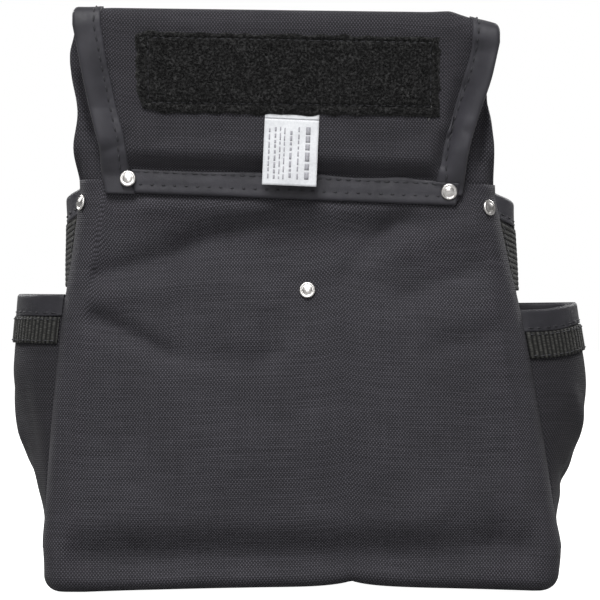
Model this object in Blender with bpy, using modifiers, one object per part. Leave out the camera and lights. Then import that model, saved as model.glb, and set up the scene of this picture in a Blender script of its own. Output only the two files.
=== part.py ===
"""An electrician's tool pouch of coated nylon, worn on a belt that slides through a tunnel at its back.

The rear wall, with the belt tunnel, faces -Y and the tool side faces +Y. The pouch stands on its base
at Z = 0. Every sewn sheet is an open surface, thickened by Solidify; folded binding tapes, ribbed
webbing, pockets and set rivets are pieces of their own. All lengths are in metres.
"""

import math

import bmesh
import bpy
from mathutils import Vector

# ---- driving dimensions ----

CLOTH = 0.0015  # coated nylon sheet
TAPE = 0.0006  # binding tape, folded over an edge
WEB = 0.0012  # ribbed webbing
GAP = 0.0003  # clearance between pieces that touch
LAYER = CLOTH + GAP  # pitch of two sheets that lie together
BOUND_LAYER = CLOTH + TAPE + 2 * GAP  # the same, with one leg of a binding between them

REAR_Y = -0.0459  # middle of the rear wall's cloth
FRONT_Y = 0.0260  # middle of the front wall's cloth
CORNER = 0.012  # radius of the body's upright corners
HALF_BASE = 0.1255  # half the body's width low down
HALF_TAPER = 0.025  # how much narrower each half is at the rim
HALF_BELLY = 0.0026  # outward bow of the side outline
TAPER_LOW, TAPER_HIGH = 0.025, 0.197  # heights between which the body tapers
FOOT_ROUND = 0.007  # radius with which the walls turn under
FLANGE = 0.003  # seam allowance of the walls on the base panel
FOOT_LEVEL = CLOTH + GAP + CLOTH / 2  # the walls' turned-under cloth lies on the base panel

REAR_RIM = 0.212  # rear wall's top edge, behind the flap
CORNER_RIM = 0.199  # top of the rear wall's corners and of the gussets' rear ends
FRONT_RIM = 0.178  # front wall's top edge
RIM_TAPE = 0.012  # height of the rim's binding
EVEN_LEVEL = 0.160  # up to here the rows of all four walls are at the same heights

TUNNEL = 0.01145  # how far the flap stands off the rear wall
FLAP_BOTTOM = 0.195
FLAP_STRIP = 0.0125  # height that lies flat on the rear wall
FLAP_RAMP = 0.224  # height where the flap reaches its full stand-off
FLAP_TOP = 0.2855
FLAP_LAP = 0.016  # length sewn down on the tunnel's inner side
HALF_FLAP_LOW, HALF_FLAP_HIGH = 0.088, 0.105
FLAP_SLANT = 0.027  # slope of the flap's lower seam
SIDE_TAPE = 0.012
BOTTOM_TAPE = 0.0115
YOKE_WIDE, YOKE_NARROW = 0.1025, 0.0855  # half-widths above the rim and where it laps the rear wall
YOKE_LOW, YOKE_STEP = 0.180, 0.203
YOKE_SHORT = 0.001  # how far the yoke ends below the flap's top fold
STRIP_CLEARANCE = 0.0008  # between the bottom tape's ends and the side tapes

PATCH_X = (-0.072, 0.0755)
PATCH_Z = (0.2350, 0.2740)
PATCH = 0.0016  # thickness of the loop fastener
PATCH_ROUND = 0.003
LABEL_SIZE = (0.0264, 0.0322)
LABEL = 0.0003
LABEL_ROUND = 0.0008
LABEL_DROP = 0.0020  # from the loop patch's edge to the label's fold
LABEL_X = 0.0035
LABEL_LEAN = math.radians(2.5)

POCKET_RIM = 0.145  # top edge of the side pockets
POCKET_FOOT = 0.030
POCKET_RISE = 0.09  # height over which a side pocket opens out
POCKET_SWELL = {"left": 0.0205, "right": 0.0270}
POCKET_TAPE = 0.0095
POCKET_WEB = 0.013
STRAP_LOW = 0.1505  # foot of the upright webbing on the gussets, above the side pockets
STRAP_WIDTH = 0.025

FRONT_POCKET_RIM = 0.140
FRONT_POCKET_FOOT = 0.012
FRONT_POCKET_RISE = 0.07
FRONT_POCKET_SWELL = 0.018
SLEEVE_SWELL = 0.0075
SLEEVES = {"left": (0.46, 0.100), "centre": (0.0, 0.112), "right": (-0.46, 0.100)}
SLEEVE_FOOT = 0.036
SLEEVE_RISE = 0.03
SLEEVE_HALF = 0.19  # half a sleeve's width, as a share of the front wall's half-width

INNER_RIM = 0.155
INNER_FOOT = 0.030
INNER_RISE = 0.04
INNER_SWELL = 0.009
CENTRE_RIVET = (0.0079, 0.1498)
INNER_MIDDLE = CENTRE_RIVET[0] / YOKE_NARROW  # where the inner pocket is held down, across its half-width
INNER_FLAT = 0.05  # half the width that lies flat there

CAP_RADIUS, CAP_HEIGHT = 0.0039, 0.0017
POST_RADIUS, HOLE_RADIUS = 0.0013, 0.0017
BACK_RADIUS, BACK_HEIGHT = 0.0031, 0.0016
POST_GRIP = 0.0009  # how far a post reaches into its back
FRONT_RIVET_TILT = 0.02  # the front pocket's rivets lean up a little
FRONT_RIVET_U, FRONT_RIVET_DROP = 0.895, 0.007  # across the front wall, and below the pocket's rim
FLAP_RIVET_X, FLAP_RIVET_LIFT = 0.0787, 0.0067  # from the flap's middle and its lower edge
CORNER_RIVET_U, CORNER_RIVET_Z = 1.6, 0.1905  # round the rear wall's corner, and its height
CORNER_RIVET_SPACE = 0.0011  # clearance of its flat back from the curved cloth
TURN_STEPS, BORE_SIDES = 12, 10

LEAN = -0.0075  # the empty pouch leans to one side at the top
LEAN_LOW, LEAN_RUN = 0.040, 0.200
SAG = 0.013  # slope by which that side sits lower, at the rim
FLARE = 0.08  # how much wider the mouth is at the front than at the rear
FLARE_LOW, FLARE_RUN = 0.100, 0.100

BASE_INSET = 0.005  # of the base panel from the walls
FULLNESS = 1.3  # how late a pocket swells on its way up
PUFF = 0.7  # how square a pocket's cross-section is
WELD = 0.00001

COLLECTION = "tool_pouch"
MID_Y = (REAR_Y + FRONT_Y) / 2
HALF_DEPTH = (FRONT_Y - REAR_Y) / 2
FLAP_Y = REAR_Y - TUNNEL
FLAP_BACK_Y = REAR_Y + 2 * LAYER
FOLD_RADIUS = (FLAP_BACK_Y - FLAP_Y) / 2
FOLD_Z = FLAP_TOP - FOLD_RADIUS


def clear_scene():
    for old in list(bpy.data.objects):
        bpy.data.objects.remove(old, do_unlink=True)


def new_collection(name):
    made = bpy.data.collections.new(name)
    bpy.context.scene.collection.children.link(made)
    return made


clear_scene()
parts = new_collection(COLLECTION)
cutters = new_collection(COLLECTION + "_cutters")
root = bpy.data.objects.new("pouch_frame", None)
parts.objects.link(root)


# ---- materials ----


def material(name, colour, roughness, metallic=0.0):
    made = bpy.data.materials.new(name)
    made.use_nodes = True
    shader = made.node_tree.nodes["Principled BSDF"]
    shader.inputs["Base Color"].default_value = (*colour, 1.0)
    shader.inputs["Roughness"].default_value = roughness
    shader.inputs["Metallic"].default_value = metallic
    return made


NYLON = material("ballistic_nylon", (0.045, 0.044, 0.052), 0.75)
BINDING = material("binding_tape", (0.055, 0.054, 0.064), 0.6)
WEBBING = material("ribbed_webbing", (0.035, 0.037, 0.035), 0.7)
LOOP = material("loop_fastener", (0.014, 0.014, 0.014), 0.95)
LABEL_CLOTH = material("label_cloth", (0.85, 0.86, 0.88), 0.5)
NICKEL = material("nickel", (0.72, 0.71, 0.70), 0.25, 1.0)


# ---- surfaces ----


def clamp(value, low=0.0, high=1.0):
    return min(max(value, low), high)


def smooth(value):
    t = clamp(value)
    return t * t * (3 - 2 * t)


def half_width(z):
    """Half the body's width at height z: widest low down, drawn in towards the rim."""
    t = clamp((z - TAPER_LOW) / (TAPER_HIGH - TAPER_LOW))
    return HALF_BASE - HALF_TAPER * t + HALF_BELLY * math.sin(math.pi * t)


def settle(point):
    """The stance of the soft pouch: its mouth flares forwards, and its top leans and sags sideways."""
    rise = clamp((point.z - LEAN_LOW) / LEAN_RUN)
    depth = (point.y - REAR_Y) / (FRONT_Y - REAR_Y)
    flare = FLARE * clamp((point.z - FLARE_LOW) / FLARE_RUN) ** 2 * depth
    drop = SAG * clamp(point.z / 0.2) * (point.x + 0.11)
    return Vector((point.x * (1 + flare) + LEAN * rise, point.y, point.z - drop))


SIDES = {
    "rear": (Vector((1, 0, 0)), Vector((0, -1, 0))),
    "right": (Vector((0, 1, 0)), Vector((1, 0, 0))),
    "front": (Vector((-1, 0, 0)), Vector((0, 1, 0))),
    "left": (Vector((0, -1, 0)), Vector((-1, 0, 0))),
}


def wall_profile(v, top, inside):
    """Inset and height of a wall: v is 2 at its top edge, 1 at the even level and 0 where the foot starts
    to turn; it is -1 where the foot lies flat and -2 at the end of the seam allowance."""
    centre = FOOT_LEVEL + FOOT_ROUND
    if v >= 1:
        return inside, EVEN_LEVEL + (v - 1) * (top - EVEN_LEVEL)
    if v >= 0:
        return inside, centre + v * (EVEN_LEVEL - centre)
    turn = min(-v, 1.0) * math.pi / 2
    radius = FOOT_ROUND - inside
    flange = max(-v - 1.0, 0.0) * FLANGE
    return FOOT_ROUND - radius * math.cos(turn) + flange, centre - radius * math.sin(turn)


def wall(side, u, v, top, inside=0.0):
    """A point of the body's wall: u runs -1 to 1 across the flat side and on to 2 round each corner."""
    inset, z = wall_profile(v, top, inside)
    along, out = SIDES[side]
    reach, run = HALF_DEPTH, half_width(z) - CORNER
    if side in ("left", "right"):
        reach, run = half_width(z), HALF_DEPTH - CORNER
    turn = max(abs(u) - 1.0, 0.0) * math.pi / 2
    radius = CORNER - inset
    sideways = clamp(u, -1, 1) * run + math.copysign(radius * math.sin(turn), u)
    outwards = reach - CORNER + radius * math.cos(turn)
    return Vector((0, MID_Y, z)) + along * sideways + out * outwards


def wall_station(z, top):
    """The station v of a wall at height z, above its foot."""
    centre = FOOT_LEVEL + FOOT_ROUND
    if z > EVEN_LEVEL:
        return 1 + (z - EVEN_LEVEL) / (top - EVEN_LEVEL)
    return (z - centre) / (EVEN_LEVEL - centre)


STEP = 0.002  # parameter step for tangents


def tangents(surface, u, v):
    du = (surface(u + STEP, v) - surface(u - STEP, v)) / (2 * STEP)
    dv = (surface(u, v + STEP) - surface(u, v - STEP)) / (2 * STEP)
    return du, dv


def normal(surface, u, v):
    du, dv = tangents(surface, u, v)
    return du.cross(dv).normalized()


def lifted(surface, distance):
    """The surface a constant distance outside another."""
    return lambda u, v: surface(u, v) + normal(surface, u, v) * distance


FOLD = [(1, 0), (0, 0), (0, 60), (0, 120), (0, 180), (1, 180)]  # share of the leg, degrees round the edge


def folded_tape(surface, edge, inward, width):
    """A tape folded over an edge of a sheet: station t runs along the edge, k counts along FOLD."""
    reach = CLOTH / 2 + GAP + TAPE / 2

    def point(t, k):
        share, degrees = FOLD[int(k)]
        u, v = edge(t)
        du, dv = tangents(surface, u, v)
        slope = du * inward[0] + dv * inward[1]
        step = share * width / slope.length
        base = surface(u + inward[0] * step, v + inward[1] * step)
        out = normal(surface, u + inward[0] * step, v + inward[1] * step)
        angle = math.radians(degrees)
        return base + out * reach * math.cos(angle) - slope.normalized() * reach * math.sin(angle)

    return point


FOLD_STATIONS = range(len(FOLD))


def spread(low, high, count):
    return [low + (high - low) * i / count for i in range(count + 1)]


def mirrored(stations):
    """Stations from -u to u, given the ones from 0 to u."""
    return [-s for s in reversed(stations) if s > 0] + list(stations)


# ---- object makers ----


def add(obj, surface_material):
    parts.objects.link(obj)
    obj.data.materials.append(surface_material)
    obj.parent = root
    return obj


def sheet(name, surface, us, vs, thickness, surface_material):
    """A grid laid on surface(u, v) at the given stations, settled, and thickened on both sides."""
    us, vs = list(us), list(vs)
    columns, rows = len(us) - 1, len(vs) - 1
    grid = bmesh.new()
    bmesh.ops.create_grid(grid, x_segments=columns, y_segments=rows, size=1.0)
    for vert in grid.verts:
        u = us[round((vert.co.x + 1) / 2 * columns)]
        v = vs[round((vert.co.y + 1) / 2 * rows)]
        vert.co = settle(surface(u, v))
    mesh = bpy.data.meshes.new(name)
    grid.to_mesh(mesh)
    grid.free()
    made = add(bpy.data.objects.new(name, mesh), surface_material)
    thicken = made.modifiers.new("thickness", "SOLIDIFY")
    thicken.thickness = thickness
    thicken.offset = 0.0
    thicken.use_even_offset = True
    return made


def plate(name, outline, thickness, surface_material, settled=True):
    """A flat upright plate, from the X and Z of its outline; its own Y is 0."""
    curve = bpy.data.curves.new(name, "CURVE")
    curve.dimensions = "2D"
    curve.fill_mode = "BOTH"
    curve.extrude = thickness / 2
    line = curve.splines.new("POLY")
    line.points.add(len(outline) - 1)
    line.use_cyclic_u = True
    for place, (x, z) in zip(line.points, outline):
        at = Vector((x, REAR_Y, z))
        at = settle(at) if settled else at
        place.co = (at.x, at.z, 0.0, 1.0)
    made = add(bpy.data.objects.new(name, curve), surface_material)
    made.rotation_euler = (math.pi / 2, 0, 0)
    return made


def rounded(low_x, high_x, low_z, high_z, radius, steps=3):
    """Outline of an upright rectangle with round corners, anticlockwise."""
    outline = []
    corners = [(high_x, high_z, 0), (low_x, high_z, 90), (low_x, low_z, 180), (high_x, low_z, 270)]
    for x, z, start in corners:
        inward_x = x - math.copysign(radius, x - (low_x + high_x) / 2)
        inward_z = z - math.copysign(radius, z - (low_z + high_z) / 2)
        for i in range(steps + 1):
            angle = math.radians(start + 90 * i / steps)
            outline.append((inward_x + radius * math.cos(angle), inward_z + radius * math.sin(angle)))
    return outline


def turned(name, profile, surface_material):
    """A solid of revolution about its own Z axis, from its profile's radius and height."""
    mesh = bpy.data.meshes.new(name)
    mesh.from_pydata([(r, 0, z) for r, z in profile], [(i, i + 1) for i in range(len(profile) - 1)], [])
    made = add(bpy.data.objects.new(name, mesh), surface_material)
    screw = made.modifiers.new("turn", "SCREW")
    screw.steps = TURN_STEPS
    screw.render_steps = TURN_STEPS
    screw.use_merge_vertices = True
    screw.merge_threshold = WELD
    return made


def bore(places, targets):
    """Cuts one clearance hole, between two points, through each target sheet."""
    start, end = places
    length = (end - start).length
    bpy.ops.mesh.primitive_cylinder_add(vertices=BORE_SIDES, radius=HOLE_RADIUS, depth=length)
    cutter = bpy.context.object
    cutter.name = targets[0].name + "_hole"
    for owner in list(cutter.users_collection):
        owner.objects.unlink(cutter)
    cutters.objects.link(cutter)
    cutter.parent = root
    cutter.location = (start + end) / 2
    cutter.rotation_euler = (end - start).to_track_quat("Z", "X").to_euler()
    cutter.hide_render = True
    cutter.display_type = "WIRE"
    for target in targets:
        cut = target.modifiers.new("rivet_hole", "BOOLEAN")
        cut.operation = "DIFFERENCE"
        cut.solver = "EXACT"
        cut.object = cutter


def rivet(name, face, out, stack, targets, back_gap=GAP):
    """A set rivet: a domed cap whose post goes through the stack, and a back that grips the post."""
    face, out = settle(face), out.normalized()
    post = -(GAP + stack + back_gap + POST_GRIP)
    dome = [(CAP_RADIUS * math.sin(a), CAP_HEIGHT * math.cos(a)) for a in (0, 0.55, 1.05, 1.45)]
    cap_profile = dome + [(CAP_RADIUS, 0.0), (POST_RADIUS, 0.0), (POST_RADIUS, post), (0.0, post)]
    cap = turned(name + "_cap", cap_profile, NICKEL)
    mouth = -(GAP + stack + back_gap)
    floor = mouth - POST_GRIP - GAP
    foot = mouth - BACK_HEIGHT
    back_profile = [
        (0.0, floor),
        (HOLE_RADIUS, floor),
        (HOLE_RADIUS, mouth),
        (BACK_RADIUS, mouth),
        (BACK_RADIUS, mouth - BACK_HEIGHT / 2),
        (0.0, foot),
    ]
    back = turned(name + "_back", back_profile, NICKEL)
    for piece in (cap, back):
        piece.location = face + out * GAP
        piece.rotation_euler = out.to_track_quat("Z", "X").to_euler()
    bore((face + out * CAP_HEIGHT, face - out * (stack + back_gap)), targets)


# ---- rear wall, gussets, front wall and base ----


def rear_top(u):
    """The rear wall is tall behind the flap and lower round its corners."""
    return REAR_RIM + (CORNER_RIM - REAR_RIM) * clamp((abs(u) - 0.94) / 0.06)


def rear_surface(u, v):
    return wall("rear", u, v, rear_top(u))


def front_surface(u, v):
    return wall("front", u, v, FRONT_RIM)


def towards_front(side, u):
    """0 at the rear end of a gusset, 1 at its front end."""
    return clamp((u if side == "right" else -u) / 2 + 0.5)


def gusset_top(side, u):
    """A gusset slopes down to the front, where its lap stays below the front wall's binding."""
    front = towards_front(side, u)
    lap = (RIM_TAPE + 0.003) * clamp((abs(u) - 1.0) / 0.25) if front == 1.0 else 0.0
    return CORNER_RIM + (FRONT_RIM - CORNER_RIM) * front - lap


def gusset_surface(side):
    """A gusset laps inside the corners of the rear and front walls."""
    return lambda u, v: wall(side, u, v, gusset_top(side, u), inside=LAYER)


ROUND_CORNER = [1.0, 1.25, 1.5, 1.75, 2.0]
FOOT_ROWS = [-2.0, -1.0, -0.67, -0.33, 0.0]
WALL_ROWS = FOOT_ROWS + [0.1, 0.35, 0.6, 0.8, 1.0, 1.5, 2.0]

rear_wall = sheet(
    "rear_panel", rear_surface, mirrored([0.0, 0.5, 0.94] + ROUND_CORNER), WALL_ROWS, CLOTH, NYLON
)
front_wall = sheet(
    "front_panel", front_surface, mirrored([0.0, 0.5] + ROUND_CORNER), WALL_ROWS, CLOTH, NYLON
)

gussets = {}
for side in ("left", "right"):
    columns = mirrored([0.0] + ROUND_CORNER[:3])
    gussets[side] = sheet(
        f"gusset_{side}", gusset_surface(side), columns, WALL_ROWS[1:], CLOTH, NYLON
    )


def base_outline():
    half_x = HALF_BASE - BASE_INSET
    low_y, high_y = REAR_Y + BASE_INSET, FRONT_Y - BASE_INSET
    return rounded(-half_x, half_x, low_y, high_y, CORNER - BASE_INSET)


base = plate("base_panel", base_outline(), CLOTH, NYLON, settled=False)
base.rotation_euler = (0, 0, 0)
base.location.z = CLOTH / 2


# ---- rim bindings and the gussets' upright webbing ----


def rim_edge(t):
    return t, 2.0


for side in ("left", "right"):
    tape = folded_tape(gusset_surface(side), rim_edge, (0, -1), RIM_TAPE)
    sheet(f"rim_binding_{side}", tape, spread(-0.96, 0.96, 4), FOLD_STATIONS, TAPE, BINDING)

front_tape = folded_tape(front_surface, rim_edge, (0, -1), RIM_TAPE)
rim_stations = mirrored([0.0, 0.5, 1.0, 1.25, 1.5, 1.75])
sheet("rim_binding_front", front_tape, rim_stations, FOLD_STATIONS, TAPE, BINDING)


def strap_surface(side):
    """Upright webbing on a gusset, from above the side pocket (s = 0) to below the binding (s = 1)."""
    on_gusset = lifted(gusset_surface(side), CLOTH / 2 + GAP + WEB / 2)

    def point(u, s):
        top = gusset_top(side, u)
        z = STRAP_LOW + s * (top - RIM_TAPE - 3 * GAP - STRAP_LOW)
        return on_gusset(u, wall_station(z, top))

    return point


for side in ("left", "right"):
    ahead = 1 if side == "right" else -1
    rear_end = -0.94 * ahead
    front_end = rear_end + ahead * STRAP_WIDTH / (HALF_DEPTH - CORNER)
    across = sorted([rear_end, 0.0, front_end])
    sheet(f"side_webbing_{side}", strap_surface(side), across, spread(0.0, 1.0, 3), WEB, WEBBING)


# ---- side pockets ----


def swelling(u, edge, power):
    """How far a pocket stands out across its width: nothing past its seams, full in the middle."""
    return (1 - min(abs(u) / edge, 1.0) ** power) ** PUFF


def side_pocket_surface(side):
    """A half tube on a gusset, from height z, closing on the gusset at its foot."""
    out = SIDES[side][1]

    def point(u, z):
        on_gusset = wall(side, u, wall_station(z, CORNER_RIM), CORNER_RIM, inside=LAYER)
        rise = clamp((z - POCKET_FOOT) / POCKET_RISE)
        fullness = math.sin(math.pi / 2 * rise) ** FULLNESS
        swell = POCKET_SWELL[side] * fullness * swelling(u, 0.9, 2.4)
        return on_gusset + out * (BOUND_LAYER + swell)

    return point


POCKET_COLUMNS = mirrored([0.0, 0.25, 0.5, 0.68, 0.8, 0.87, 0.9, 0.96])
WEB_TOP = POCKET_RIM - POCKET_TAPE - GAP
POCKET_ROWS = [0.022, 0.036, 0.050, 0.068, 0.092, WEB_TOP - POCKET_WEB, WEB_TOP, POCKET_RIM]

for side in ("left", "right"):
    pocket = side_pocket_surface(side)
    sheet(f"side_pocket_{side}", pocket, POCKET_COLUMNS, POCKET_ROWS, CLOTH, NYLON)
    swollen = mirrored([0.0, 0.25, 0.5, 0.68, 0.8])
    tape = folded_tape(pocket, lambda t: (t, POCKET_RIM), (0, -1), POCKET_TAPE)
    sheet(f"side_pocket_binding_{side}", tape, swollen, FOLD_STATIONS, TAPE, BINDING)
    band = lifted(pocket, CLOTH / 2 + GAP + WEB / 2)
    sheet(f"side_pocket_webbing_{side}", band, swollen, [WEB_TOP - POCKET_WEB, WEB_TOP], WEB, WEBBING)


# ---- front pocket and its tool sleeves ----


def front_pocket_surface(u, z):
    on_wall = wall("front", u, wall_station(z, FRONT_RIM), FRONT_RIM)
    rise = clamp((z - FRONT_POCKET_FOOT) / FRONT_POCKET_RISE)
    fullness = math.sin(math.pi / 2 * rise) ** FULLNESS
    swell = FRONT_POCKET_SWELL * fullness * swelling(u, 0.85, 5)
    return on_wall + Vector((0, BOUND_LAYER + swell, 0))


FRONT_COLUMNS = mirrored([0.0, 0.27, 0.46, 0.65, 0.76, 0.83, 0.85, 0.94])
FRONT_WEB_TOP = FRONT_POCKET_RIM - POCKET_TAPE - GAP
FRONT_ROWS = [0.0105, 0.024, 0.040, 0.060, 0.084]
FRONT_ROWS += [FRONT_WEB_TOP - POCKET_WEB, FRONT_WEB_TOP, FRONT_POCKET_RIM]
front_pocket = sheet(
    "front_pocket", front_pocket_surface, FRONT_COLUMNS, FRONT_ROWS, CLOTH, NYLON
)
swollen = mirrored([0.0, 0.27, 0.46, 0.65, 0.76])
tape = folded_tape(front_pocket_surface, lambda t: (t, FRONT_POCKET_RIM), (0, -1), POCKET_TAPE)
sheet("front_pocket_binding", tape, swollen, FOLD_STATIONS, TAPE, BINDING)
band = lifted(front_pocket_surface, CLOTH / 2 + GAP + WEB / 2)
front_web_rows = [FRONT_WEB_TOP - POCKET_WEB, FRONT_WEB_TOP]
sheet("front_pocket_webbing", band, swollen, front_web_rows, WEB, WEBBING)


def sleeve_surface(middle, top):
    """A narrow sleeve for a long tool, sewn on the front pocket; u runs -1 to 1 across it."""

    def point(u, z):
        across = middle + SLEEVE_HALF * u
        rise = clamp((z - SLEEVE_FOOT) / SLEEVE_RISE)
        fullness = math.sin(math.pi / 2 * rise)
        swell = SLEEVE_SWELL * fullness * swelling(u, 0.86, 2.2)
        return front_pocket_surface(across, z) + Vector((0, BOUND_LAYER + swell, 0))

    return point


for name, (middle, top) in SLEEVES.items():
    sleeve = sleeve_surface(middle, top)
    columns = mirrored([0.0, 0.3, 0.55, 0.72, 0.86, 0.98])
    rows = [SLEEVE_FOOT - 0.006, SLEEVE_FOOT + 0.004, SLEEVE_FOOT + 0.014, SLEEVE_FOOT + 0.030]
    rows += [top - POCKET_TAPE, top]
    sheet(f"tool_sleeve_{name}", sleeve, columns, rows, CLOTH, NYLON)
    tape = folded_tape(sleeve, lambda t, top=top: (t, top), (0, -1), POCKET_TAPE)
    sheet(
        f"tool_sleeve_binding_{name}",
        tape,
        mirrored([0.0, 0.3, 0.55, 0.72]),
        FOLD_STATIONS,
        TAPE,
        BINDING,
    )


# ---- inner pocket, held in its middle by the centre rivet ----


def inner_surface(u, z):
    """Two shallow lobes on the inner face of the rear wall; u runs -1 to 1 across both."""
    on_wall = Vector((u * YOKE_NARROW, REAR_Y, z))
    lobe_width = 1 - math.copysign(INNER_MIDDLE, u - INNER_MIDDLE) - INNER_FLAT
    lobe = clamp((abs(u - INNER_MIDDLE) - INNER_FLAT) / lobe_width)
    rise = clamp((z - INNER_FOOT) / INNER_RISE)
    swell = INNER_SWELL * math.sin(math.pi / 2 * rise) * max(math.sin(math.pi * lobe), 0.0) ** 0.8
    return on_wall + Vector((0, BOUND_LAYER + swell, 0))


def lobe_stations(low, high):
    return [low + (high - low) * s for s in (0.0, 0.06, 0.2, 0.5, 0.8, 0.94, 1.0)]


near, far = INNER_MIDDLE - INNER_FLAT, INNER_MIDDLE + INNER_FLAT
inner_columns = lobe_stations(-0.99, near) + lobe_stations(far, 0.99)
inner_rows = [INNER_FOOT - 0.006, INNER_FOOT + 0.006, INNER_FOOT + 0.020, INNER_FOOT + 0.045, INNER_RIM]
inner_pocket = sheet("inner_pocket", inner_surface, inner_columns, inner_rows, CLOTH, NYLON)
tape = folded_tape(inner_surface, lambda t: (t, INNER_RIM), (0, -1), RIM_TAPE)
inner_binding = sheet("inner_pocket_binding", tape, inner_columns, FOLD_STATIONS, TAPE, BINDING)


# ---- belt tunnel ----


def half_flap(z):
    t = clamp((z - FLAP_BOTTOM) / (FOLD_Z - FLAP_BOTTOM), -0.1, 1.0)
    return HALF_FLAP_LOW + (HALF_FLAP_HIGH - HALF_FLAP_LOW) * t


def flap_surface(u, v):
    """v: 0 to 1 up the sewn strip, 2 at full stand-off, 3 to 4 over the top fold, 5 at the lap's end."""
    low_y = REAR_Y - BOUND_LAYER
    ramp_z = FLAP_BOTTOM + FLAP_STRIP
    y = low_y + (FLAP_Y - low_y) * smooth(v - 1)
    if v <= 1:
        z = FLAP_BOTTOM + FLAP_STRIP * v
    elif v <= 2:
        z = ramp_z + (FLAP_RAMP - ramp_z) * (v - 1)
    elif v <= 3:
        z = FLAP_RAMP + (FOLD_Z - FLAP_RAMP) * (v - 2)
    elif v <= 4:
        angle = math.pi * (v - 3)
        y = FLAP_Y + FOLD_RADIUS * (1 - math.cos(angle))
        z = FOLD_Z + FOLD_RADIUS * math.sin(angle)
    else:
        y = FLAP_BACK_Y
        z = FOLD_Z - FLAP_LAP * (v - 4)
    x = u * half_flap(z if v < 4 else FOLD_Z)
    slant = FLAP_SLANT * x * (1 - smooth((v - 1) / 1.6))
    return Vector((x, y, z - slant))


FLAP_ROWS = [0.0, 1.0, 1.33, 1.67, 2.0, 3.0, 3.17, 3.33, 3.5, 3.67, 3.83, 4.0, 5.0]
flap = sheet("tunnel_flap", flap_surface, mirrored([0.0, 0.5, 1.0]), FLAP_ROWS, CLOTH, NYLON)

side_rows = [-0.1] + FLAP_ROWS[1:-1]
flap_bindings = {}
for side, edge_u in (("left", -1.0), ("right", 1.0)):
    tape = folded_tape(flap_surface, lambda t, edge_u=edge_u: (edge_u, t), (-edge_u, 0), SIDE_TAPE)
    name = f"flap_binding_{side}"
    flap_bindings[side] = sheet(name, tape, side_rows, FOLD_STATIONS, TAPE, BINDING)

strip_end = 1 - (SIDE_TAPE + STRIP_CLEARANCE) / HALF_FLAP_LOW
tape = folded_tape(flap_surface, lambda t: (t, 0.0), (0, 1), BOTTOM_TAPE)
sheet("flap_binding_bottom", tape, spread(-strip_end, strip_end, 4), FOLD_STATIONS, TAPE, BINDING)


def yoke_outline():
    top = FOLD_Z - YOKE_SHORT
    half = [(YOKE_NARROW, YOKE_LOW), (YOKE_NARROW, YOKE_STEP), (YOKE_WIDE, YOKE_STEP), (YOKE_WIDE, top)]
    return half + [(-x, z) for x, z in reversed(half)]


yoke = plate("tunnel_back_panel", yoke_outline(), CLOTH, NYLON)
yoke.location.y = REAR_Y + LAYER


def to_mesh(obj):
    """A curve's filled solid as a mesh, welded, under the same name."""
    graph = bpy.context.evaluated_depsgraph_get()
    mesh = bpy.data.meshes.new_from_object(obj.evaluated_get(graph))
    weld = bmesh.new()
    weld.from_mesh(mesh)
    bmesh.ops.remove_doubles(weld, verts=weld.verts, dist=WELD)
    weld.to_mesh(mesh)
    weld.free()
    name, matrix = obj.name, obj.matrix_world.copy()
    bpy.data.objects.remove(obj)
    made = bpy.data.objects.new(name, mesh)
    parts.objects.link(made)
    made.parent = root
    made.matrix_world = matrix
    return made


bpy.context.view_layer.update()
yoke = to_mesh(yoke)

patch = plate("loop_patch", rounded(*PATCH_X, *PATCH_Z, PATCH_ROUND), PATCH, LOOP)
patch.location.y = FLAP_Y - CLOTH / 2 - GAP - PATCH / 2


# ---- hanging label, on its hinge ----

label_face = FLAP_Y - CLOTH / 2 - GAP - LABEL / 2
label_top = settle(Vector((LABEL_X, REAR_Y, PATCH_Z[0] - LABEL_DROP)))
hinge = bpy.data.objects.new("label_hinge", None)
parts.objects.link(hinge)
hinge.parent = root
hinge.location = (label_top.x, label_face, label_top.z)
hinge.rotation_euler = (0, LABEL_LEAN, 0)
width, length = LABEL_SIZE
label_outline = rounded(-width / 2, width / 2, -length, 0.0, LABEL_ROUND, steps=2)
label = plate("care_label", label_outline, LABEL, LABEL_CLOTH, settled=False)
label.parent = hinge


# ---- rivets ----

bound = CLOTH / 2 + GAP + TAPE
flap_stack = BOUND_LAYER + bound + LAYER + CLOTH / 2
for side, x in (("left", -FLAP_RIVET_X), ("right", FLAP_RIVET_X)):
    slanted = FLAP_RIVET_LIFT + FLAP_BOTTOM - FLAP_SLANT * x
    face = Vector((x, REAR_Y - BOUND_LAYER - bound, slanted))
    layers = [flap_bindings[side], flap, rear_wall, yoke]
    rivet(f"flap_rivet_{side}", face, Vector((0, -1, 0)), flap_stack, layers)

x, z = CENTRE_RIVET
face = Vector((x, REAR_Y - CLOTH / 2, z))
centre_stack = CLOTH / 2 + BOUND_LAYER + bound
rivet("centre_rivet", face, Vector((0, -1, 0)), centre_stack, [rear_wall, inner_binding, inner_pocket])

corner_station = wall_station(CORNER_RIVET_Z, CORNER_RIM)
for side, u in (("left", -CORNER_RIVET_U), ("right", CORNER_RIVET_U)):
    on_wall = rear_surface(u, corner_station)
    out = normal(rear_surface, u, corner_station)
    face = on_wall + out * CLOTH / 2
    layers = [rear_wall, gussets[side]]
    rivet(f"side_rivet_{side}", face, out, CLOTH + LAYER, layers, back_gap=CORNER_RIVET_SPACE)

for side, u in (("left", FRONT_RIVET_U), ("right", -FRONT_RIVET_U)):
    on_pocket = front_pocket_surface(u, FRONT_POCKET_RIM - FRONT_RIVET_DROP)
    face = on_pocket + Vector((0, CLOTH / 2, 0))
    layers = [front_pocket, front_wall]
    rivet(f"front_rivet_{side}", face, Vector((0, 1, FRONT_RIVET_TILT)), BOUND_LAYER + CLOTH, layers)


# ---- stand the pouch on the middle of its base ----


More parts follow.
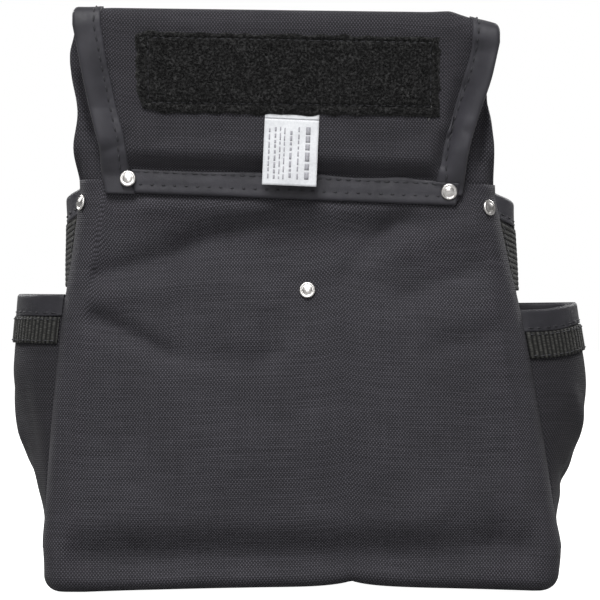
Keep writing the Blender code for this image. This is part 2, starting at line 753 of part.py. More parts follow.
def centre_on_origin():
    """Moves the frame so that the whole pouch's box is centred on the origin in X and Y."""
    bpy.context.view_layer.update()
    graph = bpy.context.evaluated_depsgraph_get()
    spots = []
    for obj in parts.objects:
        if obj.type != "EMPTY":
            solid = obj.evaluated_get(graph)
            spots += [solid.matrix_world @ vert.co for vert in solid.to_mesh().vertices]
            solid.to_mesh_clear()
    for axis in (0, 1):
        values = [spot[axis] for spot in spots]
        root.location[axis] = -(min(values) + max(values)) / 2


centre_on_origin()
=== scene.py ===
"""Looks for the electrician's tool pouch: woven sheets, bindings, webbing, pile, stitches and rivets,
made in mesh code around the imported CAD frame. All lengths are in metres; the rear wall faces -Y."""

import math

import bpy
import numpy as np
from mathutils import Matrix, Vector, noise


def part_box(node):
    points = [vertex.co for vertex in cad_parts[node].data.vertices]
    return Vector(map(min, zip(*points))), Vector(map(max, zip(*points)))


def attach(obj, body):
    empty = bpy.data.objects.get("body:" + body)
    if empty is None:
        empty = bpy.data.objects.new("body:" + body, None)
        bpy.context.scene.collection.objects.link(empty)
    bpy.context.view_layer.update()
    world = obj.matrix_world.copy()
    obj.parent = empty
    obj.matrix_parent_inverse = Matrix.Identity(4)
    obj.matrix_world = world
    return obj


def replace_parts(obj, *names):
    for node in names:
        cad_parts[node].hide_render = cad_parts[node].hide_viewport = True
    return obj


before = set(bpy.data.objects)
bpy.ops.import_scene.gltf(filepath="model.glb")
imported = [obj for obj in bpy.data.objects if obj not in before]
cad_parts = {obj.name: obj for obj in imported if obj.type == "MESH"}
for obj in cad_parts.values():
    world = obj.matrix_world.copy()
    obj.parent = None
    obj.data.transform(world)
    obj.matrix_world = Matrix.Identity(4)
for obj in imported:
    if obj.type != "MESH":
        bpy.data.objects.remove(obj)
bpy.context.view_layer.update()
PI = math.pi

# ---- sizes: sheet thicknesses, and places read from the CAD nodes ----

CLOTH, TAPE, WEB, GAP = 0.0015, 0.0006, 0.0012, 0.0003
LAYER = CLOTH + GAP
BOUND_LAYER = CLOTH + TAPE + 2 * GAP

rear_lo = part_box("rear_panel")[0]
front_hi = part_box("front_panel")[1]
base_lo, base_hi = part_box("base_panel")
patch_lo, patch_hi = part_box("loop_patch")
label_lo, label_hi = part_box("care_label")

REAR_Y = rear_lo.y + CLOTH / 2
FRONT_Y = front_hi.y - CLOTH / 2
SHIFT_X = (base_lo.x + base_hi.x) / 2
MID_Y, HALF_DEPTH = (REAR_Y + FRONT_Y) / 2, (FRONT_Y - REAR_Y) / 2

CORNER, FOOT_ROUND, FLANGE = 0.012, 0.007, 0.003
HALF_BASE = (base_hi.x - base_lo.x) / 2 + 0.005
HALF_TAPER, HALF_BELLY, TAPER_LOW, TAPER_HIGH = 0.025, 0.0026, 0.025, 0.197
FOOT_LEVEL, FOOT_DROP = CLOTH + GAP + CLOTH / 2, 0.00185
FOOT_CENTRE = FOOT_LEVEL + FOOT_ROUND
REAR_RIM, CORNER_RIM, FRONT_RIM, EVEN_LEVEL = 0.212, 0.199, 0.178, 0.160
RIM_TAPE, CORNER_TOP = 0.012, 0.2032
# how far each gusset bows out past the rear wall, at its webbing's foot and at its rim
GUSSET_BOW = {"left": (0.0020, 0.0072), "right": (0.0030, 0.0098)}

TUNNEL, FLAP_BOTTOM, FLAP_STRIP, FLAP_RAMP, FLAP_TOP = 0.01145, 0.1962, 0.0113, 0.224, 0.2855
FLAP_LAP, HALF_FLAP_LOW, HALF_FLAP_HIGH, FLAP_SLANT = 0.016, 0.088, 0.105, 0.027
SIDE_TAPE, BOTTOM_TAPE = 0.012, 0.0103
FLAP_Y = REAR_Y - TUNNEL
FLAP_BACK_Y = REAR_Y + 2 * LAYER
FOLD_RADIUS = (FLAP_BACK_Y - FLAP_Y) / 2
FOLD_Z = FLAP_TOP - FOLD_RADIUS
# how much further out the flap's face is at its fold, and at what share of its face that starts
FLAP_LEAN, LEAN_FROM = 0.0062, 0.24
YOKE_WIDE, YOKE_NARROW, YOKE_LOW, YOKE_STEP = 0.1025, 0.0855, 0.180, 0.2005

POCKET_RIM, POCKET_FOOT, POCKET_TAPE, POCKET_WEB = 0.145, 0.030, 0.0095, 0.013
POCKET_SWELL = {"left": 0.0240, "right": 0.0294}
STRAP_LOW, STRAP_WIDTH = 0.1505, 0.025
FRONT_POCKET_RIM, FRONT_POCKET_FOOT, FRONT_POCKET_SWELL = 0.140, 0.012, 0.018
SLEEVE_SWELL, SLEEVE_FOOT, SLEEVE_HALF = 0.0075, 0.036, 0.19
SLEEVES = {"left": (0.46, 0.100), "centre": (0.0, 0.112), "right": (-0.46, 0.100)}
INNER_RIM, INNER_FOOT, INNER_SWELL, INNER_FLAT = 0.155, 0.030, 0.009, 0.05
CENTRE_RIVET = (0.0079, 0.1498)
INNER_MIDDLE = CENTRE_RIVET[0] / YOKE_NARROW
LEAN, LEAN_LOW, LEAN_RUN, SAG = -0.0075, 0.040, 0.200, 0.013
FLARE, FLARE_LOW, FLARE_RUN = 0.08, 0.100, 0.100

# how far a stitch row lies from a sheet's middle: on its tape, and on its webbing
ON_TAPE = CLOTH / 2 + GAP + TAPE - 0.0001
ON_WEB = CLOTH / 2 + GAP + WEB


# ---- small maths ----


def smooth(value):
    t = np.clip(value, 0.0, 1.0)
    return t * t * (3 - 2 * t)


def bump(value, width):
    return np.exp(-((value / width) ** 2))


def unit(v):
    return v / np.maximum(np.linalg.norm(v, axis=-1, keepdims=True), 1e-12)


def stations(low, high, step):
    return np.linspace(low, high, max(2, int(round(abs(high - low) / step))) + 1)


def joined(*runs):
    """Runs of stations as one, without the repeats where they meet."""
    line = np.concatenate(runs)
    return line[np.concatenate([[True], np.abs(np.diff(line)) > 1e-9])]


def wander(a, b, size, seed):
    """Slow, smooth unevenness of about -1 to 1 over two coordinates, with features of the given size."""
    rng = np.random.RandomState(seed)
    total = 0.0
    for i in range(7):
        angle, phase = rng.uniform(0, PI), rng.uniform(0, 2 * PI)
        pitch = size * rng.uniform(0.6, 1.9)
        total = total + np.sin((a * math.cos(angle) + b * math.sin(angle)) * 2 * PI / pitch + phase)
    return total / 3.2


# ---- the pouch's surfaces, as its CAD has them, with the set of worn cloth added ----


def half_width(z):
    t = np.clip((z - TAPER_LOW) / (TAPER_HIGH - TAPER_LOW), 0, 1)
    return HALF_BASE - HALF_TAPER * t + HALF_BELLY * np.sin(PI * t)


def arch(x):
    """How far the bottom edge lifts off the table: a wide arch, with a pinched crease in it."""
    wide = 0.0026 * np.clip(1 - ((x - 0.012) / 0.118) ** 2, 0, 1)
    pinch = 0.0032 * np.exp(-np.abs(x - 0.0255) / 0.011)
    return wide + pinch


def settle(p):
    x, y, z = p[..., 0], p[..., 1], p[..., 2]
    rise = np.clip((z - LEAN_LOW) / LEAN_RUN, 0, 1)
    depth = (y - REAR_Y) / (FRONT_Y - REAR_Y)
    flare = FLARE * np.clip((z - FLARE_LOW) / FLARE_RUN, 0, 1) ** 2 * depth
    drop = SAG * np.clip(z / 0.2, 0, 1) * (x + 0.11)
    lift = arch(x) * np.clip(1 - z / 0.034, 0, 1) ** 1.4
    corner = 0.0024 * smooth((x - 0.112) / 0.012) * bump(z - 0.018, 0.016)
    return np.stack([x * (1 + flare) + LEAN * rise + SHIFT_X + corner, y, z - drop + lift], -1)


SIDES = {
    "rear": (np.array([1.0, 0, 0]), np.array([0, -1.0, 0])),
    "right": (np.array([0, 1.0, 0]), np.array([1.0, 0, 0])),
    "front": (np.array([-1.0, 0, 0]), np.array([0, 1.0, 0])),
    "left": (np.array([0, -1.0, 0]), np.array([-1.0, 0, 0])),
}


def wall_profile(v, top, inside):
    turn = np.clip(-v, 0, 1) * PI / 2
    radius = FOOT_ROUND - inside
    flange = np.clip(-v - 1, 0, None) * FLANGE
    low_z = FOOT_CENTRE - radius * np.sin(turn)
    low_inset = FOOT_ROUND - radius * np.cos(turn) + flange
    mid_z = FOOT_CENTRE + v * (EVEN_LEVEL - FOOT_CENTRE)
    high_z = EVEN_LEVEL + (v - 1) * (top - EVEN_LEVEL)
    z = np.where(v >= 1, high_z, np.where(v >= 0, mid_z, low_z))
    return np.where(v >= 0, inside, low_inset), z - FOOT_DROP * np.clip(1 - z / 0.034, 0, 1)


def wall(side, u, v, top, inside=0.0):
    inset, z = wall_profile(v, top, inside)
    along, out = SIDES[side]
    if side in ("left", "right"):
        reach, run = half_width(z), HALF_DEPTH - CORNER
    else:
        reach, run = HALF_DEPTH, half_width(z) - CORNER
    turn = np.clip(np.abs(u) - 1, 0, 1) * PI / 2
    radius = CORNER - inset
    sideways = np.clip(u, -1, 1) * run + np.sign(u) * radius * np.sin(turn)
    outwards = reach - CORNER + radius * np.cos(turn)
    middle = np.stack([0 * z, MID_Y + 0 * z, z], -1)
    return middle + along * sideways[..., None] + out * outwards[..., None]


def wall_station(z, top):
    high = 1 + (z - EVEN_LEVEL) / (top - EVEN_LEVEL)
    return np.where(z > EVEN_LEVEL, high, (z - FOOT_CENTRE) / (EVEN_LEVEL - FOOT_CENTRE))


def both(u, v):
    return np.broadcast_arrays(np.asarray(u, float), np.asarray(v, float))


def crease(x, z, start, end, width, depth):
    """A soft fold along a line: depth at its middle, fading across it and towards its ends."""
    ax, az = start
    dx, dz = end[0] - ax, end[1] - az
    length = math.hypot(dx, dz)
    along = ((x - ax) * dx + (z - az) * dz) / length**2
    across = ((x - ax) * dz - (z - az) * dx) / length
    return depth * bump(across, width) * smooth(along / 0.3 + 0.3) * smooth((1 - along) / 0.3 + 0.3)


mm = 0.001


def relief_of(folds, x, z):
    """How far a table's folds stand out: each has a start, an end, a half-width and a depth, in mm."""
    total = 0.0
    for start, end, width, depth in folds:
        total = total + crease(x, z, np.array(start) * mm, np.array(end) * mm, width * mm, depth * mm)
    return total


REAR_FOLDS = [
    ((-112, 152), (-48, 169), 6.5, -3.6),
    ((-66, 167), (-4, 186), 7.5, -2.9),
    ((-112, 143), (-30, 156), 7, 2.0),
    ((-108, 139), (-60, 115), 5.5, -4.2),
    ((-66, 116), (-8, 113), 7, -1.9),
    ((-17, 142), (-12, 112), 5, -1.5),
    ((14, 176), (64, 184), 7, -1.2),
    ((14, 150), (56, 190), 6, -2.4),
    ((8, 156), (98, 184), 7, 2.2),
    ((40, 141), (96, 163), 6, -2.0),
    ((30, 128), (108, 142), 8, 1.3),
    ((60, 117), (114, 133), 7, -1.3),
    ((-90, 60), (-106, 108), 8, -1.2),
    ((70, 40), (100, 24), 10, -2.0),
    ((-30, 60), (30, 84), 16, 0.7),
    ((-80, 88), (-20, 74), 13, 0.6),
    ((-6, 138), (-24, 100), 9, -1.1),
]


def rear_relief(u, x, z):
    """How far the rear wall's cloth stands out of its CAD plane, in metres."""
    rivet_x, rivet_z = CENTRE_RIVET[0] + LEAN * 0.55 + SHIFT_X, CENTRE_RIVET[1] - 0.0012
    away = 1 - bump(np.hypot(x - rivet_x, z - rivet_z), 0.013)
    sides = np.clip(1 - (np.abs(x + 0.004) / 0.121) ** 4, 0, 1)
    belly = 5.6 * mm * sides * smooth((z - 0.015) / 0.023) * smooth((0.182 - z) / 0.080)
    hollow = -2.7 * mm * bump(z - 0.0205 - 0.02 * x, 0.0098) * smooth((0.123 - np.abs(x)) / 0.016)
    full = 0.55 + 0.75 * bump(x + 0.063, 0.032) + 0.55 * bump(x - 0.008, 0.018)
    lip = 2.3 * mm * bump(z - 0.0045, 0.0060) * sides * full
    under_strip = smooth((0.1868 - z) / 0.0155) * smooth((z - 0.138) / 0.034)
    ledge = 1.9 * mm * bump(z + SAG * x - 0.1895, 0.0046) * smooth((0.084 - np.abs(x)) / 0.010)
    folds = relief_of(REAR_FOLDS, x, z) + ledge
    folds = folds - 4.6 * mm * under_strip * bump(x + 0.031, 0.040)
    folds = folds - 3.4 * mm * under_strip * bump(x - 0.034, 0.026)
    uneven = 0.32 * mm * wander(x, z, 0.045, 3) + 0.10 * mm * wander(x, z, 0.014, 5)
    upper = smooth((0.1952 - z - SAG * x) / 0.006)
    side = smooth((1.22 - np.abs(u)) / 0.22)
    foot = smooth((z + 0.002) / 0.006)
    return ((belly + folds + uneven) * away * upper + hollow + lip) * side * foot


def behind_valleys(p):
    """How far a layer behind the rear wall gives way where the wall's cloth sinks in."""
    return np.maximum(-rear_relief(0 * p[..., 0], p[..., 0], p[..., 2]), 0)


def rear_top(u):
    return REAR_RIM + (CORNER_TOP - REAR_RIM) * np.clip((np.abs(u) - 0.94) / 0.06, 0, 1)


def rear_surface(u, v):
    u, v = both(u, v)
    p = settle(wall("rear", u, v, rear_top(u)))
    z = p[..., 2]
    proud = smooth((np.abs(u) - 1) / 0.6) * smooth((0.165 - z) / 0.03) * smooth((z - 0.01) / 0.02)
    p[..., 0] += np.sign(u) * 0.0009 * proud
    p[..., 1] -= rear_relief(u, p[..., 0], z)
    return p


def front_surface(u, v):
    u, v = both(u, v)
    p = settle(wall("front", u, v, FRONT_RIM))
    soft = smooth((1.2 - np.abs(u)) / 0.3) * smooth((p[..., 2] - 0.008) / 0.02)
    free = smooth((p[..., 2] - 0.144) / 0.012)
    p[..., 1] += (0.25 + 0.9 * free) * mm * wander(p[..., 0], p[..., 2], 0.07, 11) * soft
    return p


def towards_front(side, u):
    return np.clip((u if side == "right" else -u) / 2 + 0.5, 0, 1)


def gusset_top(side, u):
    front = towards_front(side, u)
    lap = np.where(front == 1.0, (RIM_TAPE + 0.003) * np.clip((np.abs(u) - 1) / 0.25, 0, 1), 0.0)
    return CORNER_RIM + (FRONT_RIM - CORNER_RIM) * front - lap


def gusset_surface(side):
    sign = 1.0 if side == "right" else -1.0

    def point(u, v):
        u, v = both(u, v)
        p = settle(wall(side, u, v, gusset_top(side, u), inside=LAYER))
        flat = smooth((0.9 - np.abs(u)) / 0.5)
        y, z = p[..., 1], p[..., 2]
        low, high = GUSSET_BOW[side]
        bow = (low + (high - low) * np.clip((z - 0.150) / 0.046, 0, 1.1)) * smooth((z - 0.130) / 0.018)
        bow = bow * smooth((y - REAR_Y - 0.0105) / 0.014) * smooth((FRONT_Y - 0.013 - y) / 0.034)
        p[..., 0] += sign * (bow + 0.35 * mm * flat * wander(y, z, 0.05, 17))
        p[..., 2] -= LAYER * smooth((1.04 - np.abs(u)) / 0.06) * np.clip(1 - z / 0.02, 0, 1)
        return p

    return point


def swelling(u, edge, power):
    return (1 - np.minimum(np.abs(u) / edge, 1.0) ** power) ** 0.7


SIDE_POCKET_FOLDS = [
    ((-20, 108), (4, 70), 6, 2.0),
    ((12, 112), (20, 60), 6, -1.6),
    ((-22, 62), (10, 50), 6, -2.2),
]


def side_pocket_surface(side):
    out = SIDES[side][1]
    seed = 23 if side == "left" else 29

    def point(u, z):
        u, z = both(u, z)
        on = wall(side, u, wall_station(z, CORNER_RIM), CORNER_RIM, inside=LAYER)
        rise = np.clip((z - POCKET_FOOT) / 0.09, 0, 1)
        full = np.sin(PI / 2 * rise) ** 1.3
        ahead = u if side == "right" else -u
        puff = swelling(ahead - 0.20 * np.maximum(1 - (ahead / 0.965) ** 2, 0), 0.965, 2.3)
        swell = POCKET_SWELL[side] * full * puff
        loose = puff * smooth((0.118 - z) / 0.02) * smooth((z - 0.030) / 0.02)
        across = u * 0.03
        folds = relief_of(SIDE_POCKET_FOLDS, across, z) + 0.0008 * wander(across, z, 0.03, seed)
        sewn = LAYER + (BOUND_LAYER - LAYER) * smooth((0.99 - np.abs(u)) / 0.06)
        p = settle(on + out * (sewn + swell)[..., None])
        if side == "right":
            p[..., 2] -= rise**3 * (0.0022 * (1 - 0.3 * puff) + 0.0034 * smooth((0.1 - ahead) / 1.0))
        return p + out * (folds * loose)[..., None]

    return point


def front_pocket_surface(u, z):
    u, z = both(u, z)
    on = wall("front", u, wall_station(z, FRONT_RIM), FRONT_RIM)
    rise = np.clip((z - FRONT_POCKET_FOOT) / 0.07, 0, 1)
    full = np.sin(PI / 2 * rise) ** 1.3
    puff = swelling(u, 0.85, 5)
    sewn = LAYER + (BOUND_LAYER - LAYER) * smooth((z - 0.10) / 0.025) * smooth((0.94 - np.abs(u)) / 0.06)
    p = settle(on + np.array([0, 1.0, 0]) * (sewn + FRONT_POCKET_SWELL * full * puff)[..., None])
    uneven = 0.5 * mm * wander(p[..., 0], p[..., 2], 0.05, 31)
    p[..., 1] += uneven * smooth(puff / 0.5) * smooth((z - 0.02) / 0.03)
    return p


def sleeve_surface(middle, top):
    def point(u, z):
        u, z = both(u, z)
        rise = np.clip((z - SLEEVE_FOOT) / 0.03, 0, 1)
        swell = SLEEVE_SWELL * np.sin(PI / 2 * rise) * swelling(u, 0.86, 2.2)
        p = front_pocket_surface(middle + SLEEVE_HALF * u, z)
        p[..., 1] += LAYER + (BOUND_LAYER - LAYER) * smooth((z - top + 0.02) / 0.008) + swell
        return p

    return point


def inner_surface(u, z):
    u, z = both(u, z)
    width = 1 - np.copysign(INNER_MIDDLE, u - INNER_MIDDLE) - INNER_FLAT
    lobe = np.clip((np.abs(u - INNER_MIDDLE) - INNER_FLAT) / width, 0, 1)
    rise = np.clip((z - INNER_FOOT) / 0.04, 0, 1)
    swell = INNER_SWELL * np.sin(PI / 2 * rise) * np.maximum(np.sin(PI * lobe), 0) ** 0.8
    p = settle(np.stack([u * YOKE_NARROW, REAR_Y + BOUND_LAYER + swell, z], -1))
    p[..., 1] += behind_valleys(p)
    return p


def half_flap(z):
    t = np.clip((z - FLAP_BOTTOM) / (FOLD_Z - FLAP_BOTTOM), -0.1, 1)
    return HALF_FLAP_LOW + (HALF_FLAP_HIGH - HALF_FLAP_LOW) * t


FLAP_FOLDS = [
    ((88, 270), (79, 244), 6.0, -2.8),
    ((80, 250), (67, 206), 4.2, -4.6),
    ((95, 262), (81, 222), 4.5, 1.5),
    ((92, 230), (80, 224), 3.5, -1.0),
    ((-84, 221), (-98, 216), 2.5, -0.9),
    ((-106, 270), (-96, 218), 6, 1.2),
    ((-98, 262), (-84, 216), 5, -1.4),
    ((-84, 214), (-60, 226), 7, -1.0),
    ((-40, 216), (20, 222), 9, 0.8),
    ((30, 214), (64, 228), 8, -1.2),
]


def lean_at(share):
    """How much further out the flap's face is, at a share of the way from its ramp to its fold."""
    return FLAP_LEAN * np.clip((share - LEAN_FROM) / (1 - LEAN_FROM), 0, 1)


def flap_surface(u, v):
    """The flap: v runs up its sewn strip, its ramp and its face, over the fold, and down its lap behind."""
    u, v = both(u, v)
    low_y = REAR_Y - BOUND_LAYER
    ramp_z = FLAP_BOTTOM + FLAP_STRIP
    angle = PI * np.clip(v - 3, 0, 1)
    turned_y = np.sign(np.cos(angle)) * np.abs(np.cos(angle)) ** 0.45
    turned_z = np.sin(angle) ** 0.75
    out = np.sin(PI / 2 * np.clip((v - 1.05) / 0.56, 0, 1))
    near_edge = smooth((np.abs(u) - 0.82) / 0.08)
    out = out + (smooth((v - 0.50) / 1.45) - out) * near_edge
    tuck = 0.0009 * smooth((v - 0.94) / 0.14) * smooth((1.36 - v) / 0.22)
    tuck = tuck * smooth((0.84 - np.abs(u)) / 0.06)
    crest = FLAP_Y - FLAP_LEAN
    y = low_y + tuck + (FLAP_Y - low_y) * out - lean_at(v - 2)
    y = np.where(v <= 3, y, crest + (FLAP_BACK_Y - crest) * (1 - turned_y) / 2)
    z = np.select(
        [v <= 1, v <= 2, v <= 3, v <= 4],
        [
            FLAP_BOTTOM + FLAP_STRIP * v,
            ramp_z + (FLAP_RAMP - ramp_z) * (v - 1),
            FLAP_RAMP + (FOLD_Z - FLAP_RAMP) * (v - 2),
            FOLD_Z + FOLD_RADIUS * turned_z,
        ],
        FOLD_Z - FLAP_LAP * (v - 4),
    )
    x = u * half_flap(np.where(v < 4, z, FOLD_Z)) * (1 - 0.045 * smooth((v - 3.15) / 0.7))
    x = x - 4.6 * mm * smooth((u - 0.4) / 0.6) * smooth((0.262 - z) / 0.050)
    x = x + 2.0 * mm * smooth((-u - 0.4) / 0.6) * smooth((z - 0.200) / 0.020)
    slant = FLAP_SLANT * x * (1 - smooth((v - 1) / 1.6))
    p = settle(np.stack([x, y, z - slant], -1))
    px, pz = p[..., 0], p[..., 2]
    high = smooth((v - 2) / 1.0)
    droop = 0.5 * mm * bump(px - 0.072, 0.006) - 7.0 * mm * np.clip((px - 0.073) / 0.0255, 0, 1.15)
    droop = droop - 0.6 * mm * smooth((-0.090 - px) / 0.014)
    p[..., 2] += droop * high
    relief = relief_of(FLAP_FOLDS, px, pz)
    relief = relief + 0.45 * mm * wander(px, pz, 0.05, 41) + 0.12 * mm * wander(px, pz, 0.016, 43)
    near_label = bump(px - (label_lo.x + label_hi.x) / 2, 0.022) * smooth((pz - 0.204) / 0.008)
    relief = relief - np.maximum(relief + 0.0001, 0) * near_label
    under_patch = smooth(np.maximum((patch_lo.x - 0.004 - px) / 0.01, (px - patch_hi.x) / 0.007))
    under_patch = np.maximum(under_patch, smooth((patch_lo.z - 0.002 - pz) / 0.008))
    loose = smooth((v - 1.02) / 0.35) * smooth((4 - v) / 0.6) * under_patch
    p[..., 1] -= relief * loose
    return p


def flap_lean(z):
    return lean_at((z - FLAP_RAMP) / (FOLD_Z - FLAP_RAMP))


def yoke_surface(u, v):
    """The layer behind the flap: u runs -1 to 1 across it, v is its height above the table."""
    u, v = both(u, v)
    wide = smooth((v - YOKE_STEP + 0.003) / 0.003)
    low = smooth((0.222 - v) / 0.020)
    flat_half, bend = half_width(v) - CORNER, CORNER - LAYER
    half = YOKE_WIDE + (flat_half + CORNER + 0.0003 - YOKE_WIDE) * low
    half = YOKE_NARROW + (half - YOKE_NARROW) * wide
    x = u * half
    beyond = np.clip((np.abs(x) - flat_half) / bend, 0, 1)
    back = bend * (1 - np.sqrt(1 - beyond**2)) * low
    p = settle(np.stack([x, REAR_Y + LAYER + back, v], -1))
    side = smooth((np.abs(u) - 0.75) / 0.25) * wide
    bulge = 2.5 * smooth((v - 0.240) / 0.022) - 1.1 * bump(v - 0.236, 0.010) + 1.8 * bump(v - 0.217, 0.011)
    p[..., 0] -= side * (u < 0) * mm * bulge * (1 - 0.9 * smooth((v - 0.264) / 0.012))
    p[..., 0] -= side * (u > 0) * mm * (3.2 * smooth((v - 0.222) / 0.028) + 0.4)
    p[..., 1] += 0.5 * mm * side * (1 - low) * wander(v, u * 0.02, 0.04, 47) + behind_valleys(p)
    slot = crease(p[..., 0], p[..., 2], (-0.1085, 0.256), (-0.100, 0.222), 0.0024, 3.4 * mm)
    p[..., 1] += slot + crease(p[..., 0], p[..., 2], (0.0920, 0.244), (0.0865, 0.206), 0.0024, 3.4 * mm)
    return p

# ---- mesh building ----


def arc(points, axis):
    steps = np.linalg.norm(np.diff(points, axis=axis), axis=-1)
    first = np.zeros_like(np.take(steps, [0], axis=axis))
    return np.concatenate([first, np.cumsum(steps, axis=axis)], axis=axis)


def unrolled(points):
    """Flat coordinates of a grid of points: distance along each row from its middle, and up each column."""
    across, up = arc(points, 1), arc(points, 0)
    middle = points.shape[1] // 2
    return np.stack([across - across[:, middle:middle + 1], up], -1)


def slopes(surface, u, v, dv_step, du_step=0.004):
    """How a surface's point moves from a step below to a step above, along u and along v."""
    du = surface(u + du_step, v) - surface(u - du_step, v)
    return du, surface(u, v + dv_step) - surface(u, v - dv_step)


def outward(surface, u, v, *steps):
    return unit(np.cross(*slopes(surface, u, v, *steps)))


def grid_faces(rows, columns, wrap=False):
    index = np.arange(rows * columns).reshape(rows, columns)
    if wrap:
        index = np.concatenate([index, index[:, :1]], 1)
    return np.stack([index[:-1, :-1], index[:-1, 1:], index[1:, 1:], index[1:, :-1]], -1).reshape(-1, 4)


def piece(name, points, faces, material, body="pouch"):
    mesh = bpy.data.meshes.new(name)
    mesh.from_pydata(points.reshape(-1, 3).tolist(), [], faces)
    made = bpy.data.objects.new(name, mesh)
    bpy.context.scene.collection.objects.link(made)
    mesh.materials.append(material)
    mesh.polygons.foreach_set("use_smooth", [True] * len(mesh.polygons))
    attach(made, body)
    return made


sheets = {}


def cloth(name, points, thickness, material, slot_name, body="pouch", flat=None, offset=0.0, bent=False):
    """A sheet from a grid of middle-surface points, thickened both ways. flat has the weave's coordinates.
    An even offset would make spikes in a tape, and in a sheet that is bent sharply."""
    made = piece(name, points, grid_faces(*points.shape[:2]).tolist(), material, body)
    mesh = made.data
    corners = np.empty(len(mesh.loops), np.int64)
    mesh.loops.foreach_get("vertex_index", corners)
    weave = (unrolled(points) if flat is None else flat).reshape(-1, 2)[corners]
    mesh.uv_layers.new(name="cloth").data.foreach_set("uv", weave.astype(np.float32).ravel())
    thick = made.modifiers.new("thickness", "SOLIDIFY")
    thick.thickness, thick.offset, thick.use_even_offset = thickness, offset, thickness > TAPE and not bent
    sheets[name] = (made, points)
    return made


STITCH = 0.0050
# a tape's section: its outer leg and inner leg by share of its width, and the turn between them in degrees
LEGS = [(share, 0) for share in np.linspace(1, 0, 11)]
LEGS += [(0, turn) for turn in (30, 60, 90, 120, 150)]
LEGS += [(share, 180) for share in np.linspace(0, 1, 7)]


def tape_points(surface, at, inward, width, ts, dv_step, seed, grooves):
    """Points of a tape folded over the edge at u or v = at, with the small waves its stitches draw in it."""
    share, angle = np.array(LEGS, float).T[..., None]
    angle = np.radians(angle)

    def edge(t):
        return both(at, t) if inward[0] else both(t, at)

    u, v = edge(ts[None, :] + 0 * share)
    du, dv = slopes(surface, u, v, dv_step)
    slope = du / 0.008 * inward[0] + dv / (2 * dv_step) * inward[1]
    run = arc(surface(*edge(ts[None, :])), 1)
    wobble = 1 + 0.035 * wander(run, run * 0, 0.03, seed) * share
    step = share * width * wobble / np.linalg.norm(slope, axis=-1)
    fu, fv = u + inward[0] * step, v + inward[1] * step
    out = outward(surface, fu, fv, dv_step)
    pinch = 0.0
    beat = 0.55 + 0.45 * np.cos(2 * PI * run / STITCH)
    for groove in grooves:
        from_row = (share - groove) * width
        pinch = pinch - 0.00022 * bump(from_row, 0.0011) * beat
        pinch = pinch + 0.00016 * bump(from_row - 0.0022, 0.0014) * (1 - beat)
    ripple = 0.00012 * wander(run, share * width, 0.013, seed + 1) * (0.3 + share)
    waves = np.where(np.cos(angle) > 0.5, np.maximum(pinch + ripple, -0.00028), 0.0)
    lift = CLOTH / 2 + GAP + TAPE / 2 + waves
    turn = out * (lift * np.cos(angle))[..., None] - unit(slope) * (lift * np.sin(angle))[..., None]
    return surface(fu, fv) + turn


def stitch_row(name, points, normals, pitch=STITCH, share=0.66, radius=0.00034, thread=None):
    """Threads laid along a line on a surface: each stitch is a short arc whose ends go into the cloth."""
    run = np.concatenate([[0], np.cumsum(np.linalg.norm(np.diff(points, axis=0), axis=1))])
    count = max(1, int(run[-1] / pitch))
    starts = (run[-1] - count * pitch) / 2 + pitch * np.arange(count) + pitch * (1 - share) / 2
    rings, sides = 7, 6
    hump = np.sin(np.linspace(0, PI, rings))
    rise, thick = radius * (1.5 * hump**0.6 - 0.9), radius * (0.45 + 0.55 * hump**0.4)
    verts, faces = [], []
    rng = np.random.RandomState(int(run[-1] * 1e5) % 9973)
    for i, start in enumerate(starts):
        s = start + np.linspace(0, 1, rings) * pitch * share * rng.uniform(0.9, 1.08)
        line, out = (np.stack([np.interp(s, run, row) for row in grid.T], 1) for grid in (points, normals))
        out = unit(out)
        across = unit(np.cross(unit(np.gradient(line, axis=0)), out))
        skew = rng.uniform(-0.00018, 0.00018) * np.linspace(-1, 1, rings)
        line = line + out * rise[:, None] + across * skew[:, None]
        turns = 2 * PI * np.arange(sides) / sides
        verts.append([line + (across * math.cos(a) + out * math.sin(a)) * thick[:, None] for a in turns])
        base, end = i * rings * sides, (rings - 1) * sides
        faces += (grid_faces(rings, sides, wrap=True)[:, ::-1] + base).tolist()
        faces.append([base + k for k in range(sides)])
        faces.append([base + end + k for k in reversed(range(sides))])
    verts = np.array(verts).swapaxes(1, 2)
    return piece(name, verts, faces, thread or THREAD)


def seam(name, surface, u, v, dv_step, offset, flip=1.0, **options):
    """A row of stitches along stations of a surface, a distance above it."""
    u, v = both(u, v)
    out = outward(surface, u, v, dv_step) * flip
    return stitch_row(name, surface(u, v) + out * offset, out, **options)


# ---- materials ----


